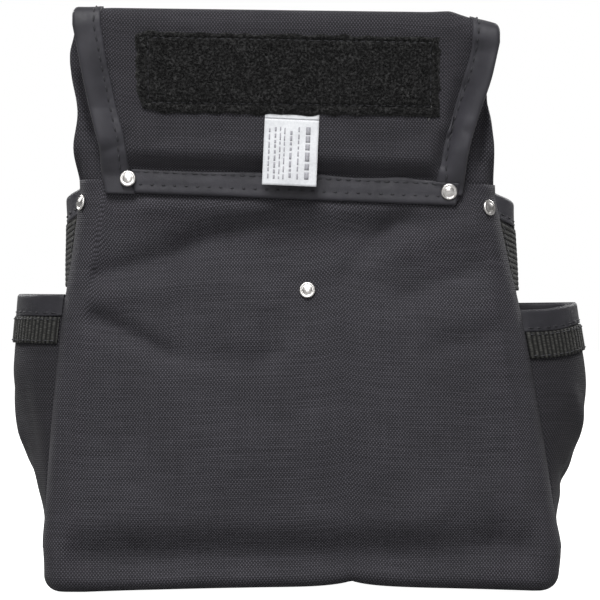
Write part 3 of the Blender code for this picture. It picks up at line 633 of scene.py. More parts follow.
class Nodes:
    """Short names for building a material's nodes."""

    def __init__(self, name):
        self.material = bpy.data.materials.new(name)
        self.material.use_nodes = True
        self.tree = self.material.node_tree
        self.shader = self.tree.nodes["Principled BSDF"]

    def feed(self, socket, value):
        if isinstance(value, bpy.types.NodeSocket):
            self.tree.links.new(value, socket)
        else:
            socket.default_value = value

    def colour(self, value, dark, light):
        self.feed(self.shader.inputs["Base Color"], self.tinted(value, dark, light))

    def roughness(self, *remapped):
        self.feed(self.shader.inputs["Roughness"], self.remap(*remapped))

    def maths(self, operation, *values):
        node = self.tree.nodes.new("ShaderNodeMath")
        node.operation = operation
        for socket, value in zip(node.inputs, values):
            self.feed(socket, value)
        return node.outputs[0]

    def times(self, a, b):
        return self.maths("MULTIPLY", a, b)

    def plus(self, a, b):
        return self.maths("ADD", a, b)

    def sine(self, value, factor):
        return self.maths("SINE", self.times(value, factor))

    def uv(self, *scale):
        """The cloth's flat coordinates in metres, scaled if x and y factors are given."""
        node = self.tree.nodes.new("ShaderNodeUVMap")
        node.uv_map = "cloth"
        if not scale:
            return node.outputs[0]
        mapping = self.tree.nodes.new("ShaderNodeMapping")
        self.feed(mapping.inputs["Vector"], node.outputs[0])
        mapping.inputs["Scale"].default_value = (*scale, 1.0)
        return mapping.outputs[0]

    def position(self):
        return self.tree.nodes.new("ShaderNodeTexCoord").outputs["Object"]

    def split(self, vector):
        node = self.tree.nodes.new("ShaderNodeSeparateXYZ")
        self.feed(node.inputs[0], vector)
        return node.outputs[0], node.outputs[1]

    def noise(self, vector, scale, detail=2.0, rough=0.5):
        node = self.tree.nodes.new("ShaderNodeTexNoise")
        self.feed(node.inputs["Vector"], vector)
        for key, number in (("Scale", scale), ("Detail", detail), ("Roughness", rough)):
            node.inputs[key].default_value = number
        return node.outputs["Fac"]

    def remap(self, value, *limits):
        node = self.tree.nodes.new("ShaderNodeMapRange")
        self.feed(node.inputs["Value"], value)
        for key, number in zip(("From Min", "From Max", "To Min", "To Max"), limits):
            node.inputs[key].default_value = number
        return node.outputs[0]

    def tinted(self, value, low_colour, high_colour):
        node = self.tree.nodes.new("ShaderNodeMix")
        node.data_type = "RGBA"
        self.feed(node.inputs["Factor"], value)
        node.inputs["A"].default_value = (*low_colour, 1)
        node.inputs["B"].default_value = (*high_colour, 1)
        return node.outputs["Result"]

    def bumped(self, height, distance, strength=1.0):
        node = self.tree.nodes.new("ShaderNodeBump")
        node.inputs["Distance"].default_value = distance
        node.inputs["Strength"].default_value = strength
        self.feed(node.inputs["Height"], height)
        self.feed(self.shader.inputs["Normal"], node.outputs[0])

    def set(self, **values):
        for key, value in values.items():
            self.shader.inputs[key.replace("_", " ")].default_value = value


WARP_PITCH, WEFT_PITCH = 0.00079, 0.00098


def woven(name, dark, light, rough):
    """Plain weave of thick yarn: warp and weft take turns on top, and each yarn has its own shade. Its colour
    is darker where the yarns dip between crossings: painted shade in the weave's hollows.
    """
    n = Nodes(name)
    x, y = n.split(n.uv(1 / WARP_PITCH, 1 / WEFT_PITCH))
    x = n.plus(x, n.times(n.noise(n.uv(), 9, 2), 0.7))
    y = n.plus(y, n.times(n.noise(n.uv(1, 1.3), 8, 2), 0.7))
    turn = n.maths("PINGPONG", n.plus(n.maths("FLOOR", x), n.maths("FLOOR", y)), 1.0)
    across, up = (n.sine(n.maths("FRACT", value), PI) for value in (x, y))
    warp_top = n.times(n.maths("POWER", across, 0.8), n.remap(up, 0, 1, 0.45, 1.0))
    weft_top = n.times(n.maths("POWER", up, 0.8), n.remap(across, 0, 1, 0.35, 0.9))
    flipped = n.maths("SUBTRACT", 1.0, turn)
    height = n.plus(n.times(warp_top, turn), n.times(weft_top, flipped))
    weft_shade = n.remap(n.noise(n.uv(16, 1 / WEFT_PITCH), 1.0, 1), 0.3, 0.7, 0.5, 1.5)
    warp_shade = n.remap(n.noise(n.uv(1 / WARP_PITCH, 18), 1.0, 1), 0.3, 0.7, 0.9, 1.1)
    tops = n.plus(n.times(n.times(turn, 0.80), warp_shade), n.times(n.times(flipped, 0.24), weft_shade))
    # darker where the yarn's height is low: painted shade in the hollows between yarns
    tone = n.times(tops, n.remap(height, 0.2, 1, 0.4, 1.2))
    cloudy = n.remap(n.noise(n.uv(), 30, 3), 0.3, 0.7, 0.86, 1.12)
    speck = n.remap(n.noise(n.uv(), 1400, 2), 0.35, 0.75, 0.88, 1.25)
    streak = n.remap(n.noise(n.uv(55, 1 / WEFT_PITCH), 1.0, 1), 0.3, 0.7, 0.87, 1.15)
    for variation in (cloudy, speck, streak):
        tone = n.times(tone, variation)
    n.colour(tone, dark, light)
    n.roughness(height, 0, 1, rough + 0.2, rough)
    n.set(Sheen_Weight=0.02, Sheen_Roughness=0.45, Specular_IOR_Level=0.22)
    n.bumped(height, 0.00022, 0.9)
    return n.material


def tape_material(name, dark, light):
    """Thin, smooth coated tape: a very fine rib, faint creases and a soft gloss."""
    n = Nodes(name)
    x, y = n.split(n.uv())
    fine = n.times(n.sine(x, 2 * PI / 0.00042), n.sine(y, 2 * PI / 0.00036))
    creases = n.noise(n.uv(1, 2.2), 170, 4, 0.6)
    cloudy = n.noise(n.uv(), 60, 3)
    tone = n.plus(n.remap(fine, -1, 1, 0.32, 0.5), n.remap(cloudy, 0.3, 0.7, -0.12, 0.3))
    n.colour(tone, dark, light)
    n.roughness(creases, 0.3, 0.7, 0.42, 0.62)
    n.set(Sheen_Weight=0.02, Sheen_Roughness=0.5, Specular_IOR_Level=0.3)
    n.bumped(n.plus(n.times(fine, 0.12), n.times(creases, 0.9)), 0.00018, 0.7)
    return n.material


RIB, RIB_YARN = 0.0024, 0.00085


def webbing_material(name):
    """Coarse ribbed webbing: each rib shows the slanting yarns that wrap it, some of them paler. The grooves
    between ribs and between yarns are coloured darker: painted shade.
    """
    n = Nodes(name)
    x, y = n.split(n.uv())
    ribs = n.maths("DIVIDE", x, RIB)
    hump = n.sine(n.maths("FRACT", ribs), PI)
    row = n.plus(n.maths("DIVIDE", y, RIB_YARN), n.times(n.maths("FLOOR", ribs), 0.5))
    yarn = n.sine(n.maths("FRACT", row), PI)
    pale = n.remap(n.noise(n.uv(1 / RIB, 1 / RIB_YARN), 1.0, 0), 0.38, 0.62, 0.45, 1.0)
    # light on the ribs' and yarns' crests, dark in the grooves between them: painted shade
    crest = n.times(n.maths("POWER", hump, 2.6), n.remap(yarn, 0, 1, 0.45, 1.0))
    n.colour(n.times(crest, pale), (0.0035, 0.0035, 0.0035), (0.063, 0.063, 0.058))
    n.set(Roughness=0.75, Sheen_Weight=0.02, Specular_IOR_Level=0.2)
    n.bumped(n.times(yarn, hump), 0.00022, 0.8)
    return n.material


def pile_material(name):
    n = Nodes(name)
    spot = n.position()
    fuzz = n.noise(spot, 900, 4, 0.65)
    clump = n.noise(spot, 190, 2)
    tone = n.times(n.remap(fuzz, 0.46, 0.68, 0, 1), n.remap(clump, 0.3, 0.7, 0.5, 1.2))
    n.colour(tone, (0.0012, 0.0012, 0.0012), (0.042, 0.042, 0.042))
    n.set(Roughness=0.95, Sheen_Weight=0.08, Sheen_Roughness=0.6, Specular_IOR_Level=0.08)
    n.bumped(fuzz, 0.0006, 0.9)
    return n.material


def plain_material(name, dark, light, scale, rough, metallic=0.0):
    """A smooth surface with faint clouds in its colour and gloss, and very low relief."""
    n = Nodes(name)
    spot = n.position()
    cloud = n.noise(spot, scale, 3, 0.6)
    n.colour(n.remap(cloud, 0.3, 0.7, 0, 1), dark, light)
    n.roughness(cloud, 0.3, 0.7, rough * 0.85, rough * 1.2)
    n.set(Metallic=metallic)
    n.bumped(n.noise(spot, scale * 3, 3), 0.00002, 0.5)
    return n.material


NYLON = woven("nylon_weave", (0.0025, 0.0024, 0.0034), (0.074, 0.0708, 0.083), 0.66)
BINDING = tape_material("binding_tape_cloth", (0.013, 0.0127, 0.0155), (0.044, 0.0425, 0.051))
# the flap's nylon is the walls' weave coloured darker: painted shade over the whole flap
SHADED_FLAP_NYLON = woven("flap_weave_painted_shade", (0.0025, 0.0024, 0.0034), (0.064, 0.0612, 0.0718), 0.66)
# the side pockets' nylon is the walls' weave coloured darker: painted shade on their sideways-turned cloth
SHADED_POCKET_NYLON = woven("side_pocket_weave_painted_shade", (0.002, 0.0019, 0.0027), (0.043, 0.0411, 0.0482), 0.7)
WEBBING = webbing_material("ribbed_webbing_cloth")
PILE = pile_material("loop_pile")
SATIN = plain_material("label_satin", (0.53, 0.54, 0.56), (0.63, 0.64, 0.66), 900, 0.5)
PRINT = plain_material("label_print", (0.24, 0.24, 0.26), (0.36, 0.36, 0.39), 1500, 0.6)
# the side pockets' tape is the binding tape coloured darker: painted shade
SHADED_POCKET_BINDING = tape_material("pocket_tape_painted_shade", (0.009, 0.0088, 0.011), (0.030, 0.029, 0.035))
NICKEL = plain_material("nickel_plate", (0.50, 0.48, 0.46), (0.80, 0.78, 0.76), 700, 0.34, 1.0)
THREAD = plain_material("dark_thread", (0.006, 0.006, 0.008), (0.022, 0.022, 0.027), 1200, 0.6)
PALE_THREAD = plain_material("worn_thread", (0.03, 0.03, 0.03), (0.10, 0.10, 0.10), 1200, 0.6)

# ---- walls and base ----

corner_run = np.linspace(1, 2, 11)[1:]
wide_u = np.concatenate([-corner_run[::-1], stations(-1, 1, 0.0175), corner_run])
foot_v = joined(np.linspace(-2, -1, 3), np.linspace(-1, 0, 10))
wall_v = joined(foot_v, stations(0, 1, 0.0145), stations(1, 2, 0.045))


def nylon(name, node, points, material=NYLON, **options):
    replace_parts(cloth(name, points, CLOTH, material, "ballistic_nylon", **options), node)


def tape(name, node, points, material=BINDING):
    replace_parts(cloth(name, points, TAPE, material, "binding_tape"), node)


nylon("rear_cloth", "rear_panel", rear_surface(*np.meshgrid(wide_u, wall_v)))
nylon("front_cloth", "front_panel", front_surface(*np.meshgrid(wide_u, wall_v)))
gusset_u = np.concatenate([-corner_run[:5][::-1], stations(-1, 1, 0.09), corner_run[:5]])
for side in ("left", "right"):
    points = gusset_surface(side)(*np.meshgrid(gusset_u, wall_v[2:]))
    nylon(f"gusset_cloth_{side}", f"gusset_{side}", points)

BASE_INSET = 0.0102


def base_surface(u, v):
    """The base: its corners are round, and it bows up with the walls' feet."""
    u, v = both(u, v)
    half_x, half_y, radius = HALF_BASE - BASE_INSET, HALF_DEPTH - BASE_INSET, CORNER - BASE_INSET
    depth = v * half_y
    short = np.maximum(np.abs(depth) - (half_y - radius), 0)
    x = u * (half_x - radius + np.sqrt(np.maximum(radius**2 - short**2, 0)))
    return settle(np.stack([x, MID_Y + depth, CLOTH / 2 + 0 * x], -1))


base_v = np.sin(np.linspace(-1, 1, 41) * PI / 2)
nylon("base_cloth", "base_panel", base_surface(*np.meshgrid(stations(-1, 1, 0.02), base_v)))

# ---- belt tunnel ----

flap_v = joined(*(stations(i, i + 1, step) for i, step in enumerate((0.125, 0.07, 0.036, 0.055, 0.12))))
points = flap_surface(*np.meshgrid(stations(-1, 1, 0.018), flap_v))
# the flap is made from the darker copy of the nylon: painted shade
nylon("flap_cloth", "tunnel_flap", points, SHADED_FLAP_NYLON)

yoke_low = stations(YOKE_LOW, YOKE_STEP - 0.003, 0.002)
yoke_step = stations(YOKE_STEP - 0.003, YOKE_STEP, 0.0004)
yoke_v = joined(yoke_low, yoke_step, stations(YOKE_STEP, FOLD_Z - 0.001, 0.002))
yoke_edge = np.linspace(1, 0.74, 27)
yoke_u = np.concatenate([-yoke_edge, stations(-0.72, 0.72, 0.02), yoke_edge[::-1]])
points = yoke_surface(*np.meshgrid(yoke_u, yoke_v))
nylon("tunnel_back_cloth", "tunnel_back_panel", points, flat=points[..., (0, 2)], bent=True)

FLAP_DV, FLAP_GROOVE = 0.01, 0.70
for side, edge_u, low_v in (("left", -1.0, -0.2), ("right", 1.0, 0.3)):
    face_v = stations(2, 3, 0.0165)
    side_v = joined(stations(low_v, 1, 0.09), stations(1, 2, 0.055), face_v, stations(3, 4, 0.04))
    points = tape_points(flap_surface, edge_u, (-edge_u, 0), SIDE_TAPE, side_v, FLAP_DV, 51, [FLAP_GROOVE])
    tape(f"flap_tape_{side}", f"flap_binding_{side}", points)
    inner = edge_u * (1 - FLAP_GROOVE * SIDE_TAPE / 0.097)
    name = f"flap_side_stitches_{side}"
    seam(name, flap_surface, inner, side_v, FLAP_DV, ON_TAPE, share=0.72, radius=0.00042)


def lifted_flap(u, v):
    """The flap as the bottom tape meets it: its far end passes over the side tape."""
    u, v = both(u, v)
    p = flap_surface(u, v)
    p[..., 1] -= (TAPE + GAP) * smooth((u - 0.80) / 0.05)
    return p


strip_u = stations((SIDE_TAPE + 0.0008) / HALF_FLAP_LOW - 1, 0.99, 0.012)
UPPER, LOWER = 0.86, 0.26
points = tape_points(lifted_flap, 0, (0, 1), BOTTOM_TAPE, strip_u, FLAP_DV, 53, (LOWER, UPPER))
tape("flap_tape_bottom", "flap_binding_bottom", points)
for row, at, pitch, share in (("upper", UPPER, 0.0047, 0.7), ("lower", LOWER, 0.0056, 0.34)):
    level = at * BOTTOM_TAPE / FLAP_STRIP
    name = f"flap_strip_stitches_{row}"
    seam(name, lifted_flap, strip_u, level, FLAP_DV, ON_TAPE, pitch=pitch, share=share)
seam("flap_lap_stitches", flap_surface, stations(-0.97, 0.97, 0.02), 4.8, FLAP_DV, CLOTH / 2)


# ---- loop fastener ----

# how the patch's upper and lower edges slope, and how far in its stitch row runs
TOP_SLOPE, LOW_SLOPE = SAG * 1.45, SAG * 1.05
ROW_LEFT, ROW_RIGHT, ROW_TOP, ROW_LOW = 0.006, 0.0045, 0.0025, 0.0052


def closed_faces(rows, columns):
    """Faces of a front grid, of the back grid that follows it, and of the strip between their rims."""
    total = rows * columns
    grid = grid_faces(rows, columns)
    index = np.arange(total).reshape(rows, columns)
    ring = [*index[0], *index[1:, -1], *index[-1, -2::-1], *index[-2:0:-1, 0]]
    strip = [[b, a, a + total, b + total] for a, b in zip(ring, ring[1:] + ring[:1])]
    return grid.tolist() + (grid[:, ::-1] + total).tolist() + np.array(strip).tolist()


def clumps(x, z, scale, seed):
    spots = zip(x.ravel() * scale, z.ravel() * scale)
    return np.array([noise.noise(Vector((a, b, seed))) for a, b in spots]).reshape(x.shape)


def loop_patch():
    """Pile as a tufted pad with an uneven outline, pressed down along its stitch row."""
    low, high = patch_lo, patch_hi
    xs, zs = np.meshgrid(stations(0, 1, 0.0032), stations(0, 1, 0.0125))
    x = low.x + 0.0002 + (high.x - low.x - 0.0002) * xs
    z_top = high.z + 0.0003 - TOP_SLOPE * (x - low.x)
    z_low = low.z + LOW_SLOPE * (high.x - x) + 0.0002
    z = z_low + (z_top - z_low) * zs
    from_left, from_low = xs * (high.x - low.x), zs * (high.z - low.z)
    from_right, from_top = (1 - xs) * (high.x - low.x), (1 - zs) * (high.z - low.z)
    edge = np.minimum(np.minimum(from_left, from_right), np.minimum(from_low, from_top))
    cut = 0.0026 * np.clip(1 - (from_left + from_low) / 0.012, 0, 1)
    x, z = x + cut, z + cut
    ragged = 0.0005 * bump(edge, 0.0012)
    x = x + ragged * wander(z, x, 0.006, 61) * np.sign(xs - 0.5)
    z = z + ragged * wander(x, z, 0.006, 63) * np.sign(zs - 0.5)
    row_x = np.minimum(np.abs(from_left - ROW_LEFT), np.abs(from_right - ROW_RIGHT))
    row_z = np.minimum(np.abs(from_top - ROW_TOP), np.abs(from_low - ROW_LOW))
    in_x = (from_left > ROW_LEFT - 0.001) & (from_right > ROW_RIGHT - 0.001)
    in_z = (from_top > ROW_TOP - 0.0005) & (from_low > ROW_LOW - 0.001)
    pressed = np.maximum(bump(row_x, 0.0009) * in_z, bump(row_z, 0.0009) * in_x)
    rise = (high.y - low.y) * (0.25 + 0.75 * smooth(edge / 0.0016))
    rise = rise + 0.00045 * clumps(x, z, 700, 3.0) + 0.0003 * clumps(x, z, 240, 9.0)
    back = high.y - flap_lean(z)
    front = np.stack([x, back - np.maximum(rise - 0.0011 * pressed, 0.0003), z], -1)
    points = np.stack([front, np.stack([x, back, z], -1)])
    made = piece("loop_pile_pad", points, closed_faces(*x.shape), PILE)
    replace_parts(made, "loop_patch")
    return front


def loops(name, surface_points, count, seed):
    """Small standing loops of thread over the pad, none of them where the label folds up against it."""
    label_middle = (label_lo.x + label_hi.x) / 2
    rng = np.random.RandomState(seed)
    rows, columns = surface_points.shape[:2]
    arcs, sides, thick = 6, 3, 0.00011
    around = np.linspace(-0.3, PI + 0.3, arcs)
    cos, sin = np.cos(around)[:, None], np.sin(around)[:, None]
    verts, faces = [], []
    for i in range(count):
        row, column = rng.randint(1, rows - 1), rng.randint(2, columns - 2)
        above_label = abs(surface_points[row, column, 0] - label_middle) < 0.0150
        spot = surface_points[row + 5 if above_label and row < 5 else row, column]
        turn, size = rng.uniform(0, PI), rng.uniform(0.00035, 0.0008)
        flat = np.array([math.cos(turn), 0, math.sin(turn)])
        tilt = rng.uniform(-0.7, 0.7)
        up = unit(np.array([-flat[2] * tilt, -1.0, flat[0] * tilt]))
        side = np.cross(flat, up)
        line = spot + size * (cos * flat + sin * up * 0.8)
        away = cos * flat + sin * up
        ring = [line + (away * math.cos(a) + side * math.sin(a)) * thick for a in (0, 2.1, 4.2)]
        base = i * arcs * sides
        verts.append(np.stack(ring, 1))
        faces += (grid_faces(arcs, sides, wrap=True) + base).tolist()
        faces.append([base + 2, base + 1, base])
        faces.append([base + (arcs - 1) * sides + k for k in range(3)])
    return piece(name, np.array(verts), faces, PILE)


loops("loop_pile_tufts", loop_patch(), 4200, 71)


def patch_line(corners, step=0.001):
    """Points along straight runs between corners given as (x, z), on the pad's face."""
    line = []
    for (ax, az), (bx, bz) in zip(corners, corners[1:]):
        n = max(2, int(math.hypot(bx - ax, bz - az) / step))
        line += [(ax + (bx - ax) * i / n, az + (bz - az) * i / n) for i in range(n)]
    line.append(corners[-1])
    return np.array([(x, patch_lo.y + 0.0009 - flap_lean(z), z) for x, z in line])


def pad_corner(side, level):
    x = patch_lo.x + ROW_LEFT if side == "left" else patch_hi.x - ROW_RIGHT
    top = patch_hi.z - 0.0024 - TOP_SLOPE * (x - patch_lo.x)
    low = patch_lo.z + ROW_LOW + LOW_SLOPE * (patch_hi.x - x)
    return (x, top if level == "top" else low)


def patch_stitches(name, line, **options):
    stitch_row(name, line, np.repeat([[0, -1.0, 0]], len(line), 0), radius=0.00026, **options)


corners = [("left", "low"), ("left", "top"), ("right", "top"), ("right", "low"), ("left", "low")]
patch_stitches("loop_pad_stitches", patch_line([pad_corner(*c) for c in corners]), pitch=0.0036, share=0.72)
tail_x, tail_z = pad_corner("right", "low")
tail = patch_line([(tail_x + 0.0006, tail_z + 0.001), (tail_x - 0.0012, patch_lo.z - 0.0030)])
tail[:, 1] = np.where(tail[:, 2] < patch_lo.z + 0.0008, patch_hi.y - 0.0002, tail[:, 1])
patch_stitches("loop_pad_back_tack", tail, pitch=0.0030, share=0.8, thread=PALE_THREAD)


# ---- hanging label ----

LABEL_WIDE, LABEL_LONG, LABEL_THICK = 0.0264, 0.0322, 0.0003
LABEL_LEAN = math.radians(2.5)


def label_point(a, d):
    """A soft woven tab with a slight bow and a lifted lower corner: a from -1 to 1 across, d metres down."""
    a, d = both(a, d)
    sin, cos = math.sin(LABEL_LEAN), math.cos(LABEL_LEAN)
    middle = (label_lo.x + label_hi.x) / 2 + sin * LABEL_LONG / 2
    top = np.array([middle, (label_lo.y + label_hi.y) / 2, label_hi.z - LABEL_WIDE / 2 * sin])
    out = 0.0004 + 0.0011 * smooth(d / LABEL_LONG) * (1 + 0.5 * a)
    out = out + 0.00055 * np.sin(PI * d / LABEL_LONG) * (1 - a * a)
    out = out + 0.0002 * np.sin(a * 4 + d * 300) * smooth(d / 0.008)
    across = np.array([cos, 0, -sin]) * (a * LABEL_WIDE / 2)[..., None]
    down = np.array([-sin, 0, -cos]) * d[..., None]
    return top + across + down + np.array([0, -1.0, 0]) * out[..., None]


points = label_point(*np.meshgrid(np.linspace(-1, 1, 27), np.linspace(0, LABEL_LONG, 33)))[::-1]
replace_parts(cloth("label_tab", points, LABEL_THICK, SATIN, "label_cloth", body="label"), "care_label")

# across the label: the middle of each column of bars, its half-width, and how full it is
BARS = [
    (-0.80, 0.0007, 0.55), (-0.58, 0.0009, 0.75), (-0.40, 0.0006, 0.8), (-0.24, 0.0006, 0.7),
    (0.0, 0.0011, 0.35), (0.28, 0.0007, 0.85), (0.62, 0.0022, 0.9),
]


def label_bars():
    """Generic printed bars, running up the label, with no lettering."""
    rng = np.random.RandomState(83)
    verts, faces = [], []
    for centre, thick, fill in BARS:
        d = 0.003 + 0.004 * (1 - fill)
        while d < LABEL_LONG - 0.004:
            size = rng.uniform(0.0012, 0.0034) * (1.5 if thick > 0.002 else 1.0)
            end = min(d + size, LABEL_LONG - 0.003)
            half = thick / LABEL_WIDE
            p = label_point(*np.meshgrid([centre - half, centre + half], np.linspace(d, end, 4)))
            base = len(verts) * p.size // 3 * 2
            verts.append([p + [0, -0.00022, 0], p + [0, -0.00010, 0]])
            faces += (np.array(closed_faces(4, 2))[:, ::-1] + base).tolist()
            d = end + rng.uniform(0.0005, 0.0012)
    return piece("label_bars", np.array(verts), faces, PRINT, "label")


label_bars()
points = label_point(*np.meshgrid(np.linspace(-1, 1, 15), np.linspace(-0.0042, -0.0001, 6)))[::-1]
cloth("label_root", points + [0, 0.0005, 0], LABEL_THICK, SATIN, "label_cloth")


# ---- rim bindings, gusset webbing ----

WALL_DV, RIM_GROOVE, WEB_PITCH = 0.01, 0.72, 0.0038


def rim(name, surface, us, level_run, seed):
    """A binding over a wall's rim, and its stitches. level_run is the height from EVEN_LEVEL to the rim."""
    points = tape_points(surface, 2.0, (0, -1), RIM_TAPE, us, WALL_DV, seed, [RIM_GROOVE])
    tape(f"rim_tape_{name}", f"rim_binding_{name}", points)
    seam(f"rim_stitches_{name}", surface, us, 2 - RIM_GROOVE * RIM_TAPE / level_run, WALL_DV, ON_TAPE)


for side in ("left", "right"):
    us = stations(-0.96, 0.96, 0.05)
    rim(side, gusset_surface(side), us, gusset_top(side, us) - EVEN_LEVEL, 57)
bend = np.linspace(1, 1.75, 10)
us = np.concatenate([-bend[::-1], stations(-1, 1, 0.0125)[1:-1], bend])
rim("front", front_surface, us, FRONT_RIM - EVEN_LEVEL, 59)


def ribbed(name, node, surface, us, vs, dv_step, upright):
    """A webbing on a surface, lifted into rounded ribs: one above another if upright, else side by side."""
    u, v = np.meshgrid(us, vs)
    p = surface(u, v)
    along, side = (0, 1) if upright else (1, 0)
    run = arc(p, along)
    edge = arc(p, side)
    if upright:
        run = run.mean(1, keepdims=True) + 0 * run
    rib = np.abs(np.sin(PI * run / RIB)) ** 0.7
    selvage = smooth(np.minimum(edge, np.take(edge, [-1], side) - edge) / 0.0008)
    base = CLOTH / 2 + GAP + WEB / 2
    points = p + outward(surface, u, v, dv_step) * (base + 0.00032 * rib * selvage)[..., None]
    if not upright:
        run = run.mean(0, keepdims=True) + 0 * run
    flat = np.stack([run, unrolled(points)[..., 0 if upright else 1]], -1)
    made = cloth(name, points, WEB - 0.0003, WEBBING, "ribbed_webbing", flat=flat, offset=-0.2)
    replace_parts(made, node)


for side in ("left", "right"):
    ahead = 1 if side == "right" else -1
    rear_end = -0.94 * ahead
    front_end = rear_end + ahead * STRAP_WIDTH / (HALF_DEPTH - CORNER)
    us = np.sort(np.linspace(rear_end, front_end, 26))
    gusset = gusset_surface(side)

    def strap(u, s, side=side, gusset=gusset):
        u, s = both(u, s)
        top = gusset_top(side, u)
        z = STRAP_LOW + s * (top - RIM_TAPE - 3 * GAP - STRAP_LOW)
        return gusset(u, wall_station(z, top))

    ribbed(f"side_web_{side}", f"side_webbing_{side}", strap, us, stations(0, 1, 0.0085), WALL_DV, True)
    for row, at in (("rear", 0.06), ("front", 0.94)):
        name = f"side_web_stitches_{row}_{side}"
        u = us[0] + (us[-1] - us[0]) * at
        seam(name, strap, u, stations(0.02, 0.98, 0.02), WALL_DV, ON_WEB, pitch=WEB_PITCH)


# ---- side pockets, front pocket, sleeves, inner pocket ----

POCKET_DV, POCKET_STEP, POCKET_GROOVE = 0.001, 0.0022, 0.80
SEAM_PITCH = 0.0042


def pocket_set(name, node, surface, us, swollen, low, rim, seed, materials=(NYLON, BINDING), web=True):
    """A pocket with its rim's binding, the webbing below it and their stitches. node has a place for
    the binding's and the webbing's part of the name; swollen are the stations of the rim that stands free."""
    fabric, binding = materials
    points = surface(*np.meshgrid(us, stations(low, rim, POCKET_STEP)))
    nylon(name, node.format(""), points, fabric)
    points = tape_points(surface, rim, (0, -1), POCKET_TAPE, swollen, POCKET_DV, seed, [POCKET_GROOVE])
    tape(f"{name}_tape", node.format("_binding"), points, binding)
    level = rim - POCKET_GROOVE * POCKET_TAPE
    seam(f"{name}_rim_stitches", surface, swollen, level, POCKET_DV, ON_TAPE, share=0.72)
    if web:
        top = rim - POCKET_TAPE - GAP
        free = swollen[np.abs(swollen) < 0.95]
        vs = stations(top - POCKET_WEB, top, 0.0009)
        ribbed(f"{name}_web", node.format("_webbing"), surface, free, vs, POCKET_DV, False)
        for part, level in (("upper", top - 0.0012), ("lower", top - POCKET_WEB + 0.0013)):
            seam(f"{name}_web_stitches_{part}", surface, free, level, POCKET_DV, ON_WEB, pitch=WEB_PITCH)


def edge_seam(name, surface, u, z):
    seam(name, surface, u, z, POCKET_DV, CLOTH / 2, pitch=SEAM_PITCH)


def both_ways(edge, low, high, step):
    """Stations across a pocket that are close together at its two edges."""
    return np.concatenate([-edge, stations(low, high, step), edge[::-1]])


fine, finer = np.linspace(0, 1, 26) ** 1.4, np.linspace(0, 1, 52) ** 1.4
pocket_u = both_ways(0.985 - 0.325 * fine, -0.64, 0.64, 0.04)
swollen = both_ways(0.955 - 0.295 * finer, -0.65, 0.65, 0.0075)
for side, front_edge, seed in (("left", -0.978, 91), ("right", 0.978, 97)):
    surface = side_pocket_surface(side)
    # the side pockets take darker copies of the nylon and of the binding tape: painted shade
    pocket_set(
        f"side_pocket_cloth_{side}", f"side_pocket{{}}_{side}", surface, pocket_u, swollen, 0.022, POCKET_RIM,
        seed, (SHADED_POCKET_NYLON, SHADED_POCKET_BINDING),
    )
    edge_seam(f"side_pocket_stitches_{side}", surface, front_edge, stations(0.026, POCKET_RIM - 0.004, 0.002))

front_u = both_ways(np.linspace(0.94, 0.72, 18), -0.70, 0.70, 0.022)
pocket_set(
    "front_pocket_cloth", "front_pocket{}", front_pocket_surface, front_u, stations(-0.76, 0.76, 0.0033),
    0.0105, FRONT_POCKET_RIM, 101,
)
zs = stations(0.014, FRONT_POCKET_RIM - 0.004, 0.002)
for row, at in (("left", 0.925), ("right", -0.925)):
    edge_seam(f"front_pocket_stitches_{row}", front_pocket_surface, at, zs)

sleeve_u = both_ways(np.linspace(0.98, 0.74, 8), -0.7, 0.7, 0.1)
for name, (middle, top) in SLEEVES.items():
    surface = sleeve_surface(middle, top)
    pocket_set(
        f"sleeve_cloth_{name}", f"tool_sleeve{{}}_{name}", surface, sleeve_u, stations(-0.72, 0.72, 0.03),
        SLEEVE_FOOT - 0.006, top, 103, web=False,
    )
    zs = stations(SLEEVE_FOOT - 0.004, top - 0.003, 0.002)
    for row, at in (("left", 0.93), ("right", -0.93)):
        edge_seam(f"sleeve_stitches_{row}_{name}", surface, at, zs)
    edge_seam(f"sleeve_foot_stitches_{name}", surface, stations(-0.9, 0.9, 0.05), SLEEVE_FOOT - 0.003)

inner_u = stations(-0.99, 0.99, 0.016)
points = inner_surface(*np.meshgrid(inner_u, stations(INNER_FOOT - 0.006, INNER_RIM, POCKET_STEP)))
nylon("inner_pocket_cloth", "inner_pocket", points[:, ::-1])
points = tape_points(inner_surface, INNER_RIM, (0, -1), RIM_TAPE, inner_u, POCKET_DV, 107, [POCKET_GROOVE])
tape("inner_pocket_tape", "inner_pocket_binding", points)
level = INNER_RIM - POCKET_GROOVE * RIM_TAPE
seam("inner_pocket_stitches", inner_surface, inner_u, level, POCKET_DV, ON_TAPE, flip=-1.0)


# ---- rivets ----

# radius and height along each profile, in millimetres
DOME = [
    (0.05, 1.50), (0.8, 1.46), (1.5, 1.34), (2.1, 1.14), (2.45, 0.98), (2.65, 0.95), (2.85, 1.02),
    (3.1, 1.16), (3.4, 1.14), (3.68, 0.95), (3.86, 0.66), (3.9, 0.35), (3.82, 0.1), (3.6, 0.0),
]
DOME_SCALE = 0.00103
FOOT = [
    (0.1, -1.2), (1.7, -1.2), (1.75, 0.0), (2.6, 0.0), (3.05, -0.2), (3.1, -0.7), (2.9, -1.1),
    (2.3, -1.4), (1.2, -1.55), (0.1, -1.6),
]


